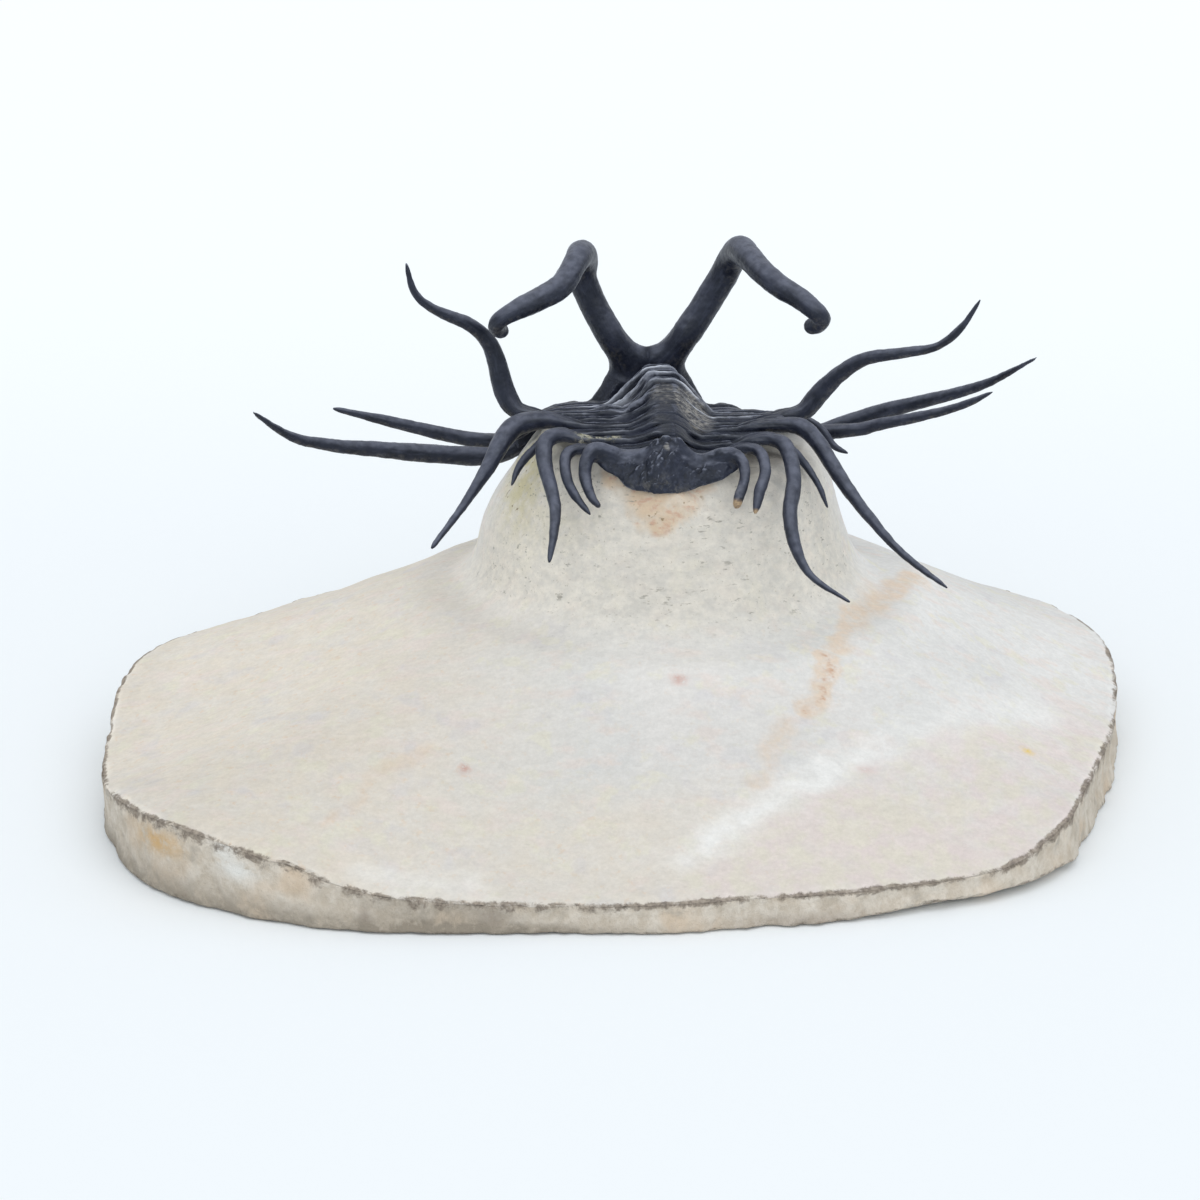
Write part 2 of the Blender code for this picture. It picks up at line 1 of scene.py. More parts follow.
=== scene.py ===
"""Dicranurus trilobite on the limestone that it was prepared from, as the photograph shows it.

Lengths are in millimetres until a mesh is made. The shell is built in the trilobite's own
frame, with u across, s along the body to the head and h up, and the stone in the world's.
"""
import math

import bmesh
import bpy
import numpy as np
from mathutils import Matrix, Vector, noise


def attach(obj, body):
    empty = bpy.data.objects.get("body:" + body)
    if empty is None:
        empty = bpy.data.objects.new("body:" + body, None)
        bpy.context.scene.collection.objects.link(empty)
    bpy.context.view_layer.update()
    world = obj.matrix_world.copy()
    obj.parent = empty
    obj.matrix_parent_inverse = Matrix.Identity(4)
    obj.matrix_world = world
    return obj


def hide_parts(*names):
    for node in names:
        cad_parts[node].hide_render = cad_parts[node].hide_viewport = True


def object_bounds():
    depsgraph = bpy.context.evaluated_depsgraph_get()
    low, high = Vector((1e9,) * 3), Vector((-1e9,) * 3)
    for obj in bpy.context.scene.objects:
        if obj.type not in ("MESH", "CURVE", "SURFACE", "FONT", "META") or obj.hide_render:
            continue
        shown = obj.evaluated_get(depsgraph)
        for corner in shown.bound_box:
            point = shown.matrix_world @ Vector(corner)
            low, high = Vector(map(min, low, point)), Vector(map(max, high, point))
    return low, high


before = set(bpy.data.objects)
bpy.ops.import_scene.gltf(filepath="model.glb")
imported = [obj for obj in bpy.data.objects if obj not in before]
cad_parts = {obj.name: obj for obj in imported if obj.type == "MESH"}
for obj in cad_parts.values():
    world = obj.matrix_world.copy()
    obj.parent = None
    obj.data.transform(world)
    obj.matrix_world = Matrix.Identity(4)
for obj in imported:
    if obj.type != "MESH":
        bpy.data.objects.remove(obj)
cad_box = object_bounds()
MM = 0.001

# Where the trilobite's own frame stands on the stone
BODY_X = 4.25
BODY_Y = 7.0
BODY_TURN = math.radians(4.0)

# Thorax
SEGMENTS = 9
SEED_STEP = 10
FIRST_SEGMENT_S = 10.55
PITCH = 2.45
BAND_WIDTH = 2.1
BAND_THICK = 1.2

# The back of the tail and the thorax: s, height of the crest, of the left and the right
# pleurae, their droop, then the axis: its middle, the half-widths of its left and right
# foot, and of the left and right side of its crest
BACK = (
    (-14.3, 34.4, 34.2, 34.0, 0.0, -0.2, 2.4, 2.4, 0.8, 0.8),
    (-12.9, 36.9, 35.9, 35.5, 0.0, -0.2, 2.6, 2.6, 0.8, 0.8),
    (-11.5, 38.1, 37.4, 36.8, 0.0, -0.2, 2.9, 2.9, 0.9, 0.9),
    (-9.05, 38.5, 37.9, 37.1, 0.0, -0.1, 3.4, 3.3, 1.0, 1.0),
    (-6.60, 39.0, 38.1, 37.3, 0.0, 0.0, 3.8, 3.7, 1.0, 1.0),
    (-4.15, 39.4, 38.1, 37.4, 0.0, 0.2, 4.1, 4.0, 1.1, 1.1),
    (-1.70, 39.7, 38.1, 37.4, 0.0, 0.4, 4.2, 4.3, 1.1, 1.1),
    (0.75, 40.1, 38.0, 37.3, 0.0, 0.6, 4.3, 4.6, 1.2, 1.2),
    (3.20, 40.5, 37.9, 37.2, 0.0, 0.8, 4.3, 4.8, 1.2, 1.2),
    (5.65, 40.8, 37.5, 36.8, 0.2, 0.9, 4.4, 5.0, 1.2, 1.2),
    (8.10, 40.9, 37.0, 36.1, 2.7, 1.0, 4.9, 5.1, 1.4, 1.3),
    (10.55, 40.8, 36.6, 35.5, 3.4, 0.9, 6.0, 5.2, 1.7, 1.0),
    (12.10, 40.6, 36.2, 35.2, 4.2, 0.8, 6.3, 5.3, 1.7, 1.0),
)
# The same for the head
HEAD_BACK = (
    (12.00, 40.7, 36.2, 35.4, 4.2, -0.3, 6.7, 6.9, 3.5, 3.3),
    (13.60, 41.1, 35.4, 34.7, 4.6, -0.3, 6.7, 6.9, 3.6, 3.4),
    (15.0, 40.6, 34.6, 34.0, 4.8, -0.2, 6.2, 6.2, 3.1, 3.1),
    (18.0, 38.4, 32.6, 32.0, 4.0, 0.0, 6.0, 6.0, 2.4, 2.4),
    (21.0, 34.9, 30.4, 29.8, 2.6, 0.0, 5.4, 5.4, 2.1, 2.1),
    (23.5, 30.6, 28.4, 27.8, 1.0, 0.0, 4.4, 4.4, 1.7, 1.7),
    (24.8, 28.2, 27.5, 27.1, 0.3, 0.0, 3.4, 3.4, 1.3, 1.3),
)
LEFT_DROOP = 0.6
DROOP_FROM = 9.0
DROOP_TO = 15.0
DROOP_POWER = 1.4
LEFT_HOLLOW = 1.4
RIGHT_HOLLOW = 1.15
BACK_SOFTNESS = 0.5

# The head's and the tail's plans: s and half-width
HEAD_PLAN = ((12.0, 14.8), (13.6, 15.6), (16.0, 15.0), (18.5, 13.2), (20.8, 10.6), (22.8, 7.4),
             (24.2, 4.0), (24.9, 1.2))
HEAD_THICK = 1.4
HEAD_WEAR_AND_HIGHLIGHT = 0.4
HEAD_SEED = 210
EYE_AT = (8.3, 16.2)
EYE_RADIUS = 1.25
EYE_SIDES = 28
EYE_PROFILE = ((1.2, 0.0), (1.0, 0.7), (1.06, 1.1), (0.97, 1.4), (0.72, 1.68), (0.35, 1.84),
               (0.08, 1.88))
BORDER_SPINES = 5
BORDER_SPINE_LENGTH = 2.4
BORDER_SPINE_ROOT = 0.42
BORDER_SPINE_TIP = 0.32
BORDER_SPINE_INSET = 0.7
FIRST_BORDER_S = 15.6
LAST_BORDER_S = 24.0

TAIL_PLAN = ((-10.2, 7.6), (-10.5, 8.0), (-11.5, 8.1), (-12.3, 7.4), (-12.9, 5.8), (-13.6, 3.4),
             (-14.2, 1.0))
TAIL_THICK = 1.3
TAIL_WEAR_AND_HIGHLIGHT = 1.3
TAIL_SEED = 310
TAIL_BAND_S = -11.15
TAIL_BAND_RISE = -0.05
TAIL_BAND_THICK = 1.9

# Spines, from the band outwards: u, s, h and diameter, left side first
SPINES = {
    1: (((-13.4, 10.8, 34.7, 1.3), (-15.4, 10.8, 33.1, 0.9), (-17.0, 10.5, 31.3, 0.4)),
        ((13.4, 10.8, 34.0, 1.3), (15.4, 10.8, 32.8, 0.9), (17.0, 10.5, 31.5, 0.4))),
    2: (((-14.0, 8.1, 34.9, 1.8), (-17.0, 8.0, 33.6, 1.8), (-20.3, 7.6, 33.8, 1.7),
         (-23.6, 7.1, 34.7, 1.6), (-29.0, 6.0, 36.5, 1.25), (-35.2, 4.5, 38.6, 0.5)),
        ((14.2, 7.8, 34.9, 1.8), (17.2, 7.3, 34.0, 1.8), (21.9, 6.0, 34.4, 1.6),
         (24.6, 5.0, 35.3, 1.4), (29.7, 2.6, 37.1, 1.1), (33.3, 0.9, 38.7, 0.85),
         (36.1, -0.5, 40.5, 0.35))),
    3: (((-13.8, 5.6, 36.5, 1.5), (-15.8, 5.4, 35.5, 1.1), (-17.6, 5.0, 34.2, 0.4)),
        ((14.0, 5.6, 36.5, 1.4), (16.2, 5.5, 36.0, 1.1), (18.2, 5.0, 34.8, 0.9),
         (19.4, 4.0, 33.3, 0.8), (20.9, 3.3, 32.6, 0.4))),
    4: (((-13.2, 3.3, 38.0, 2.5), (-15.3, 3.8, 38.3, 2.6), (-16.6, 4.4, 40.2, 2.5),
         (-17.4, 4.8, 43.5, 2.15), (-18.4, 4.6, 45.9, 1.85), (-20.3, 3.9, 47.9, 1.55),
         (-24.5, 3.1, 50.2, 1.1), (-26.3, 3.0, 52.1, 0.8), (-27.1, 3.3, 55.1, 0.4)),
        ((13.2, 3.1, 37.3, 2.5), (15.8, 3.0, 37.7, 2.6), (17.8, 2.6, 40.0, 2.25),
         (19.7, 1.8, 42.2, 1.9), (22.3, 0.6, 44.2, 1.55), (26.3, -1.0, 45.3, 1.25),
         (29.7, -2.1, 46.3, 0.95), (32.2, -2.9, 48.7, 0.8), (34.0, -3.2, 51.7, 0.4))),
    5: (((-12.2, 0.7, 37.9, 1.4), (-13.6, 0.6, 37.5, 0.9), (-14.8, 0.4, 36.9, 0.4)),
        ((12.2, 0.6, 37.8, 1.4), (13.6, 0.4, 37.4, 0.9), (14.8, 0.1, 36.8, 0.4))),
    6: (((-9.9, -1.7, 38.5, 2.2), (-12.6, -1.9, 38.9, 2.4), (-15.3, -2.7, 38.7, 2.4),
         (-17.0, -4.2, 37.8, 2.3), (-19.0, -7.1, 35.3, 1.7), (-21.9, -10.3, 32.0, 0.9),
         (-25.3, -13.7, 28.7, 0.5)),
        ((9.9, -1.8, 37.8, 2.1), (13.2, -2.4, 38.0, 2.0), (15.2, -3.4, 37.8, 2.0),
         (16.7, -5.0, 36.5, 1.9), (18.7, -8.0, 33.6, 1.65), (21.0, -11.1, 30.8, 1.3),
         (24.5, -15.2, 27.5, 0.9), (28.9, -19.1, 24.8, 0.4))),
    7: (((-10.6, -4.2, 38.0, 1.4), (-12.9, -4.5, 37.3, 1.1), (-14.6, -5.3, 36.0, 1.0),
         (-15.7, -6.3, 34.9, 0.8), (-16.5, -7.8, 33.5, 0.4)),
        ((10.6, -4.2, 37.3, 1.4), (12.5, -5.0, 37.0, 1.1), (13.9, -6.2, 36.0, 1.0),
         (15.3, -7.2, 34.5, 0.9), (16.4, -8.4, 32.8, 0.6), (17.2, -9.6, 30.8, 0.4))),
    8: (((-9.0, -6.6, 38.3, 2.0), (-11.2, -6.7, 38.8, 1.9), (-12.9, -7.9, 38.2, 1.9),
         (-13.0, -10.3, 36.2, 1.7), (-12.3, -14.4, 33.4, 1.35), (-12.6, -17.2, 31.1, 1.0),
         (-13.2, -19.3, 28.8, 0.6)),
        ((9.0, -6.7, 37.8, 2.0), (11.2, -7.0, 37.9, 1.8), (12.8, -8.6, 37.3, 1.8),
         (13.2, -12.3, 34.9, 1.7), (12.5, -15.5, 32.1, 1.7), (12.9, -18.2, 29.3, 1.3),
         (14.4, -20.5, 26.9, 0.8), (18.0, -23.5, 25.1, 0.4))),
    9: (((-8.2, -9.0, 37.9, 1.7), (-10.0, -9.3, 37.9, 1.3), (-10.9, -10.3, 37.2, 1.3),
         (-10.9, -12.0, 35.8, 1.2), (-10.1, -13.6, 34.2, 1.0), (-8.6, -15.4, 32.6, 0.5)),
        ((7.4, -9.1, 37.6, 1.7), (9.0, -9.5, 37.7, 1.3), (9.9, -10.7, 37.3, 1.3),
         (10.1, -12.9, 36.1, 1.3), (9.3, -14.9, 34.5, 1.25), (8.7, -16.7, 32.8, 0.6))),
}
TAIL_SPINES = (
    ((-6.0, -11.2, 38.0, 1.8), (-7.7, -11.3, 38.4, 2.0), (-8.7, -11.9, 37.6, 1.6),
     (-9.0, -13.1, 36.0, 1.4), (-8.5, -14.7, 34.5, 1.1), (-7.7, -15.8, 33.6, 0.6)),
    ((5.2, -11.3, 37.5, 1.8), (6.7, -11.6, 37.8, 1.7), (7.7, -12.5, 37.2, 1.4),
     (7.8, -14.1, 35.9, 1.2), (7.15, -15.5, 34.5, 1.2), (6.65, -16.6, 33.3, 0.9)),
)
GENAL_SPINES = (
    ((-12.0, 14.4, 33.1, 1.9), (-15.2, 14.4, 30.4, 2.2), (-18.9, 14.4, 29.6, 2.3),
     (-24.5, 13.7, 30.2, 2.2), (-30.0, 12.5, 31.2, 1.9), (-35.6, 11.1, 32.3, 1.5),
     (-39.9, 9.4, 34.0, 1.1), (-44.0, 7.1, 37.6, 0.4)),
    ((12.0, 14.2, 33.1, 1.9), (15.4, 13.7, 31.1, 2.2), (18.9, 12.9, 31.8, 2.3),
     (22.2, 12.3, 33.2, 2.1), (25.4, 11.3, 34.7, 1.9), (30.6, 9.1, 36.7, 1.6),
     (36.2, 5.9, 39.4, 1.1), (41.3, 2.1, 43.5, 0.4)),
)
HORNS = (
    ((-2.3, 14.2, 40.0, 4.2), (-3.2, 13.6, 41.7, 3.9), (-4.4, 13.1, 43.6, 3.45),
     (-5.6, 13.5, 45.7, 3.3), (-6.7, 13.9, 47.9, 3.3), (-7.5, 13.9, 50.2, 3.3),
     (-7.4, 13.0, 52.3, 3.3), (-7.8, 10.6, 53.75, 3.2), (-8.7, 7.6, 53.5, 2.8),
     (-10.3, 4.8, 51.9, 2.8), (-12.8, 2.7, 51.05, 2.7), (-14.9, 1.1, 50.55, 2.45),
     (-16.8, 0.0, 49.9, 2.0), (-17.6, 0.5, 48.9, 1.9), (-17.3, 1.9, 47.9, 1.9),
     (-16.6, 3.1, 47.4, 1.9)),
    ((1.6, 14.2, 40.0, 4.2), (2.6, 13.5, 41.7, 3.9), (3.9, 13.0, 43.7, 3.5),
     (5.35, 13.2, 45.8, 3.35), (6.7, 13.5, 47.9, 3.35), (8.0, 13.4, 50.1, 3.35),
     (8.9, 12.4, 52.4, 3.3), (9.5, 9.9, 54.0, 3.3), (10.1, 6.8, 54.1, 3.0),
     (11.3, 3.7, 53.3, 2.8), (13.0, 1.2, 52.3, 2.7), (14.9, -0.8, 51.5, 2.5),
     (16.4, -2.1, 50.5, 2.2), (17.2, -1.8, 49.5, 2.0), (16.8, -0.4, 48.4, 2.0),
     (15.8, 0.9, 47.9, 1.9)),
)
# Where the roots of the horns flow into each other, and how far that reaches
HORN_ROOT = (0.0, 13.6, 41.6)
HORN_ROOT_SIZE = (6.5, 3.6, 4.4)
BRIDGE = ((-3.2, 13.7, 40.4, 2.6), (-1.4, 13.5, 41.0, 2.7), (1.2, 13.5, 41.0, 2.7),
          (2.8, 13.7, 40.4, 2.6))

# Stone: its upper edge (x, y and height), its crown, and the neck's middle
RIM = (
    (-6.0, -44.2, 3.2), (13.0, -43.0, 3.6), (28.0, -39.7, 3.4), (40.8, -34.9, 3.6),
    (47.0, -27.6, 6.5), (48.9, -20.4, 6.5), (51.8, -10.4, 6.2), (54.4, 2.0, 6.2),
    (55.4, 12.0, 7.2), (55.1, 21.5, 7.5), (51.2, 30.0, 7.9), (45.0, 37.2, 7.8), (34.0, 41.3, 8.8),
    (19.0, 43.2, 9.2), (1.0, 42.8, 9.4), (-17.0, 40.3, 9.4), (-32.0, 34.9, 8.8),
    (-43.6, 25.2, 8.3), (-52.5, 14.0, 9.3), (-54.7, 8.0, 8.9), (-55.4, 2.0, 8.5),
    (-55.4, -10.0, 6.6), (-54.9, -19.0, 6.5), (-52.1, -28.2, 8.0), (-48.4, -34.1, 8.9),
    (-43.2, -38.1, 8.6), (-33.0, -42.6, 6.6), (-26.0, -43.9, 4.2), (-16.0, -44.3, 3.5),
)
STONE_CROWN = 39.0
# Where the stone lies close under the shell: s and half-width
CROWN_PLAN = ((-14.2, 0.5), (-12.9, 5.5), (-10.5, 7.6), (-6.6, 8.6), (-1.7, 9.6), (3.2, 12.6),
              (12.0, 14.0), (16.0, 14.2), (20.8, 10.0), (24.9, 1.0))
NECK_U = 2.0
NECK_S = 5.0
# Neck: share of the way down, then its half-widths right, head, left and tail
NECK_RINGS = (
    (0.00, 15.3, 18.2, 15.0, 18.3),
    (0.07, 16.4, 19.0, 16.2, 19.1),
    (0.30, 17.3, 19.8, 19.0, 19.9),
    (0.55, 18.4, 20.8, 21.0, 20.9),
    (0.80, 20.0, 22.2, 22.2, 22.6),
    (0.93, 22.4, 24.2, 24.2, 25.2),
)
HEAD_END_POWER = 1.6
# The neck's foot: half-widths and heights in the same directions
FOOT = (26.8, 28.0, 28.6, 29.0)
FOOT_HEIGHT = (18.1, 16.8, 18.3, 18.3)
SHOULDER_DROP = 0.7
SHOULDER_GAP = 1.6
HILL_STEPS = 7
HILL_POWER = 1.12
EDGE_ROUND = 0.4
LEAN = 0.25
# Rows of the stone's mesh. The crown's end at a share of the top's radius. The base's say
# how far in they lie and the share of its lift that they keep. The foot's is counted from
# the edge.
TOP_SHARE = 0.94
CROWN_ROWS = 34
SLOPE_STEPS = [3, 3, 7, 7, 7, 5, 7] + [7] * (HILL_STEPS - 1) + [16]
ARC_ROWS = 6
SIDE_ROWS = 16
BASE_ROWS = ((0.25, 0.55), (0.55, 0.25), (0.95, 0.06), (1.5, 0.0))
FLAT_SHARES = (0.92, 0.8, 0.62, 0.42, 0.22)
FOOT_ROW = 21.0
# How far the base stands off the ground, how much more at the front right, how far the left
# front side is cut in, and how hollow the side is
BASE_LIFT = 0.35
RIGHT_LIFT = 0.95
LEFT_TUCK = 0.7
SIDE_HOLLOW = 0.25
DEEPEST_BITE = 1.4
# Radius of the circle on which the edge's notches are drawn
EDGE_CIRCLE = 48.0
# The crust's depth below the edge and inside it, and where it is thicker: by how much, round
# which angle and how widely. A positive angle is counted from 0, a negative one from -pi.
CRUST_DEPTH = 0.62
CRUST_INSIDE = 0.4
CRUST_THICK = ((1.4, 3.10, 0.42), (1.3, -0.45, 0.45), (1.0, -2.45, 0.35), (0.7, -1.95, 0.25))
# Lines of colour on the stone: strength, width and course on the ground plan
LINES = {
    "vein": (
        (0.85, 1.7, ((32.5, 12.3), (28.2, 2.6), (24.0, -6.1))),
        (0.75, 1.1, ((24.0, -6.1), (22.6, -11.0))),
        (1.4, 1.0, ((22.0, -12.8), (20.8, -16.8), (19.7, -19.6))),
        (0.55, 1.4, ((17.3, -21.9), (15.2, -25.2), (14.0, -28.8))),
        (0.55, 1.1, ((-30.5, -35.7), (-28.2, -33.0), (-25.9, -28.3), (-19.4, -25.2))),
    ),
    "pale": (
        (0.5, 2.6, ((45.0, -6.4), (42.0, -9.2), (38.1, -13.2), (34.6, -16.7), (28.0, -21.4))),
        (1.0, 1.6, ((27.0, -22.2), (23.6, -24.9), (19.0, -28.1), (12.0, -33.7), (8.0, -36.8))),
        (0.6, 1.8, ((8.0, -36.8), (5.8, -38.5))),
        (0.5, 1.6, ((-27.0, -41.0), (-22.4, -41.7), (-14.9, -41.8))),
    ),
}
# Spots of colour: strength, middle and size
SPOTS = {
    "moss": ((1.6, (-10.3, 6.5, 33.6), (3.2, 6.0, 3.2)), (0.9, (-11.5, 3.0, 29.5), (2.6, 4.0, 3.0)),
             (0.5, (-5.0, -1.5, 28.5), (4.5, 3.0, 2.6))),
    # Grey patches high on the neck, under the ends of the rear segments
    "grey_patch": ((0.8, (17.5, -1.0, 34.5), (3.4, 5.0, 2.8)),
              (0.6, (-6.5, 0.0, 35.2), (2.4, 4.0, 1.8))),
    "rust": ((1.0, (-16.1, -27.5, 11.2), (0.55, 0.5, 2.0)),
             (1.0, (6.0, -18.2, 17.5), (0.75, 0.4, 2.0)),
             (0.3, (25.1, -25.6, 10.4), (1.2, 0.5, 2.0))),
    "spot": ((1.0, (42.8, -17.0, 9.2), (0.6, 0.6, 1.5)),),
    "chip": ((1.0, (-40.2, -38.5, 7.4), (1.2, 2.5, 1.6)),
             (1.0, (-38.7, -39.5, 5.1), (2.0, 2.5, 1.1))),
    "amber": ((1.0, (-47.2, -34.0, 6.0), (3.2, 4.0, 1.4)),),
    # Painted shadow low on the front side, where it meets the floor
    "base_shadow": ((1.0, (-25.9, -43.4, 0.9), (0.6, 2.5, 1.7)),
              (0.6, (-13.0, -44.0, 1.5), (1.6, 2.5, 1.8)),
              (0.5, (20.0, -42.5, 0.6), (9.0, 3.0, 0.9))),
}

# How thick the spines are, against their listed diameters
ROUND = 0.955

# Fineness of the meshes: steps along the body and points across it, or along and round a tube
HEAD_GRID = (0.2, 121)
TAIL_GRID = (0.1, 161)
TUBE_GRID = (0.3, 28)
THIN_GRID = (0.2, 16)
TAIL_TUBE_GRID = (0.2, 28)
SIDES = 60
SPINE_STEP = 0.25
SHELL_VOXEL = 0.185
TAIL_VOXEL = 0.13
CURVE_STEPS = 24
BLUNT_RINGS = 4
RIM_COLUMNS = 960
INNER_EVERY = 3


# Numbers and curves

def smooth_columns(table, step, softness):
    """A table's columns, finely spaced and rounded off, with their places along the body."""
    rows = np.array(table)
    places = np.arange(rows[0, 0] - 2.0, rows[-1, 0] + 2.0, step)
    reach = int(3.0 * softness / step)
    weights = np.exp(-0.5 * (np.arange(-reach, reach + 1) * step / softness) ** 2)
    weights /= weights.sum()
    columns = []
    for i in range(1, rows.shape[1]):
        column = np.pad(np.interp(places, rows[:, 0], rows[:, i]), reach, mode="edge")
        columns.append(np.convolve(column, weights, mode="valid"))
    return places, columns


def ramp(value, low, high):
    """Smooth step from 0 at low to 1 at high."""
    t = np.clip((np.asarray(value, float) - low) / (high - low), 0.0, 1.0)
    return t * t * (3.0 - 2.0 * t)


def back_maker(table):
    """Height of the middle of the shell, as a function of u and s, with its creases softened."""
    places, columns = smooth_columns(table, 0.05, BACK_SOFTNESS)

    def sharp(u, s):
        crest, left, right, droop, middle, foot_l, foot_r, top_l, top_r = (
            np.interp(s, places, c) for c in columns)
        on_right = u > middle
        side = np.where(on_right, right, left)
        drop = droop * np.where(on_right, 1.0, LEFT_DROOP)
        foot, top = np.where(on_right, foot_r, foot_l), np.where(on_right, top_r, top_l)
        share = np.clip((foot - np.abs(u - middle)) / (foot - top), 0.0, 1.0)
        out = np.clip((np.abs(u) - DROOP_FROM) / (DROOP_TO - DROOP_FROM), 0.0, None)
        hollow = np.where(on_right, RIGHT_HOLLOW, LEFT_HOLLOW)
        return side - drop * out ** DROOP_POWER + (crest - side) * share ** hollow

    def soft(u, s):
        u, s = np.broadcast_arrays(np.asarray(u, float), np.asarray(s, float))
        return 0.5 * sharp(u, s) + 0.25 * (sharp(u - 0.35, s) + sharp(u + 0.35, s))

    return soft


back_height = back_maker(BACK)
head_height = back_maker(HEAD_BACK)


def run_along(points):
    """Distance of each point along the line through them."""
    return np.concatenate([[0.0], np.cumsum(np.linalg.norm(np.diff(points, axis=0), axis=1))])


def with_ends(rows):
    """Rows, and one more beyond each end, in line with the last two."""
    return np.concatenate([[2.0 * rows[0] - rows[1]], rows, [2.0 * rows[-1] - rows[-2]]])


def bend(four, t):
    """The place at share t between the middle two of four rows, on a smooth curve."""
    p0, p1, p2, p3 = four
    return 0.5 * (2.0 * p1 + (p2 - p0) * t + (2.0 * p0 - 5.0 * p1 + 4.0 * p2 - p3) * t * t
                  + (3.0 * p1 - p0 - 3.0 * p2 + p3) * t ** 3)


def spline(points, step):
    """Evenly spaced points, about step apart, on a smooth curve through given points."""
    rows = with_ends(np.array(points, dtype=float))
    shares = np.linspace(0.0, 1.0, CURVE_STEPS, endpoint=False)
    fine = [bend(rows[i:i + 4], t) for i in range(len(rows) - 3) for t in shares]
    fine = np.array(fine + [rows[-2]])
    run = run_along(fine[:, :3])
    wanted = np.linspace(0.0, run[-1], max(3, int(round(run[-1] / step)) + 1))
    return np.stack([np.interp(wanted, run, column) for column in fine.T], axis=1)


def field(points, size, seed, octaves=3):
    """Fractal noise, about -1 to 1, at points in millimetres."""
    shift = Vector((17.3 * seed, 5.1 * seed, 9.7 * seed))
    return np.array([noise.fractal(Vector(p) / size + shift, 1.0, 2.1, octaves) for p in points])


def to_world(points):
    """The trilobite's frame to the world's, both in millimetres."""
    points = np.asarray(points, float)
    c, d = math.cos(BODY_TURN), math.sin(BODY_TURN)
    return np.stack([BODY_X + points[..., 0] * c - points[..., 1] * d,
                     BODY_Y + points[..., 0] * d + points[..., 1] * c, points[..., 2]], axis=-1)


# Meshes

def ring_frames(centres, start):
    """Directions across and up for each ring along a curve, carried on without twist."""
    tangents = np.gradient(centres, axis=0)
    tangents /= np.linalg.norm(tangents, axis=1)[:, None]
    across = []
    last = np.array(start, float)
    for t in tangents:
        last = last - t * last.dot(t)
        last /= np.linalg.norm(last)
        across.append(last)
    across = np.array(across)
    return tangents, across, np.cross(tangents, across)


def grid_faces(rows, columns, first=0):
    """Quads of a tube of rings, open at its ends."""
    i, k = np.meshgrid(np.arange(rows - 1), np.arange(columns), indexing="ij")
    here, there = first + i * columns + k, first + i * columns + (k + 1) % columns
    quads = np.stack([here, there, there + columns, here + columns], axis=-1)
    return quads.reshape(-1, 4).tolist()


def tube_faces(rings, columns):
    """The same, with both ends closed."""
    last = (rings - 1) * columns
    ends = [list(range(columns))[::-1], list(range(last, last + columns))]
    return grid_faces(rings, columns) + ends


def plain_mesh(name, verts, faces):
    """Mesh of bare data, with its faces turned outwards."""
    mesh = bpy.data.meshes.new(name)
    mesh.from_pydata([tuple(v) for v in verts], [], faces)
    bm = bmesh.new()
    bm.from_mesh(mesh)
    bmesh.ops.recalc_face_normals(bm, faces=bm.faces)
    if bm.calc_volume(signed=True) < 0.0:
        bmesh.ops.reverse_faces(bm, faces=bm.faces)
    bm.to_mesh(mesh)
    bm.free()
    return mesh


def read_mesh(mesh):
    """Places and normals of a mesh's points."""
    count = len(mesh.vertices)
    places, normals = np.empty(count * 3), np.empty(count * 3)
    mesh.vertices.foreach_get("co", places)
    mesh.vertices.foreach_get("normal", normals)
    return places.reshape(-1, 3), normals.reshape(-1, 3)


def move_points(mesh, places):
    mesh.vertices.foreach_set("co", np.asarray(places, float).ravel())
    mesh.update()


def neighbour_mean(mesh, values):
    """Mean of a value over each point's neighbours."""
    pairs = np.empty(len(mesh.edges) * 2, dtype=np.int64)
    mesh.edges.foreach_get("vertices", pairs)
    a, b = pairs[0::2], pairs[1::2]
    total = np.zeros_like(values)
    count = np.zeros(len(values))
    np.add.at(total, a, values[b])
    np.add.at(total, b, values[a])
    np.add.at(count, a, 1.0)
    np.add.at(count, b, 1.0)
    count = np.maximum(count, 1.0)
    return total / (count[:, None] if values.ndim > 1 else count)


def soften(mesh, times, share=0.5):
    """Draw each point towards its neighbours, by a share that may differ from point to point."""
    places, _ = read_mesh(mesh)
    for _ in range(times):
        places = places * (1.0 - share) + neighbour_mean(mesh, places) * share
    move_points(mesh, places)


def ridge_and_hollow(mesh, passes=2):
    """How much each point stands out from its neighbours, about -1 to 1."""
    places, normals = read_mesh(mesh)
    lift = ((places - neighbour_mean(mesh, places)) * normals).sum(axis=1)
    for _ in range(passes):
        lift = 0.5 * (lift + neighbour_mean(mesh, lift))
    return lift


def give(mesh, name, values):
    """Store a value, or a vector, for each point of a mesh."""
    kind, key = ("FLOAT_VECTOR", "vector") if values.ndim > 1 else ("FLOAT", "value")
    layer = mesh.attributes.new(name, kind, "POINT")
    layer.data.foreach_set(key, np.asarray(values, np.float32).ravel())


def finish_piece(name, mesh, node, material):
    """Turn a mesh in millimetres into a piece of the scene that stands for a CAD node."""
    places, _ = read_mesh(mesh)
    move_points(mesh, places * MM)
    mesh.shade_smooth()
    mesh.materials.clear()
    mesh.materials.append(material)
    piece = bpy.data.objects.new(name, mesh)
    bpy.context.scene.collection.objects.link(piece)
    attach(piece, "root")
    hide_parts(node)
    return piece


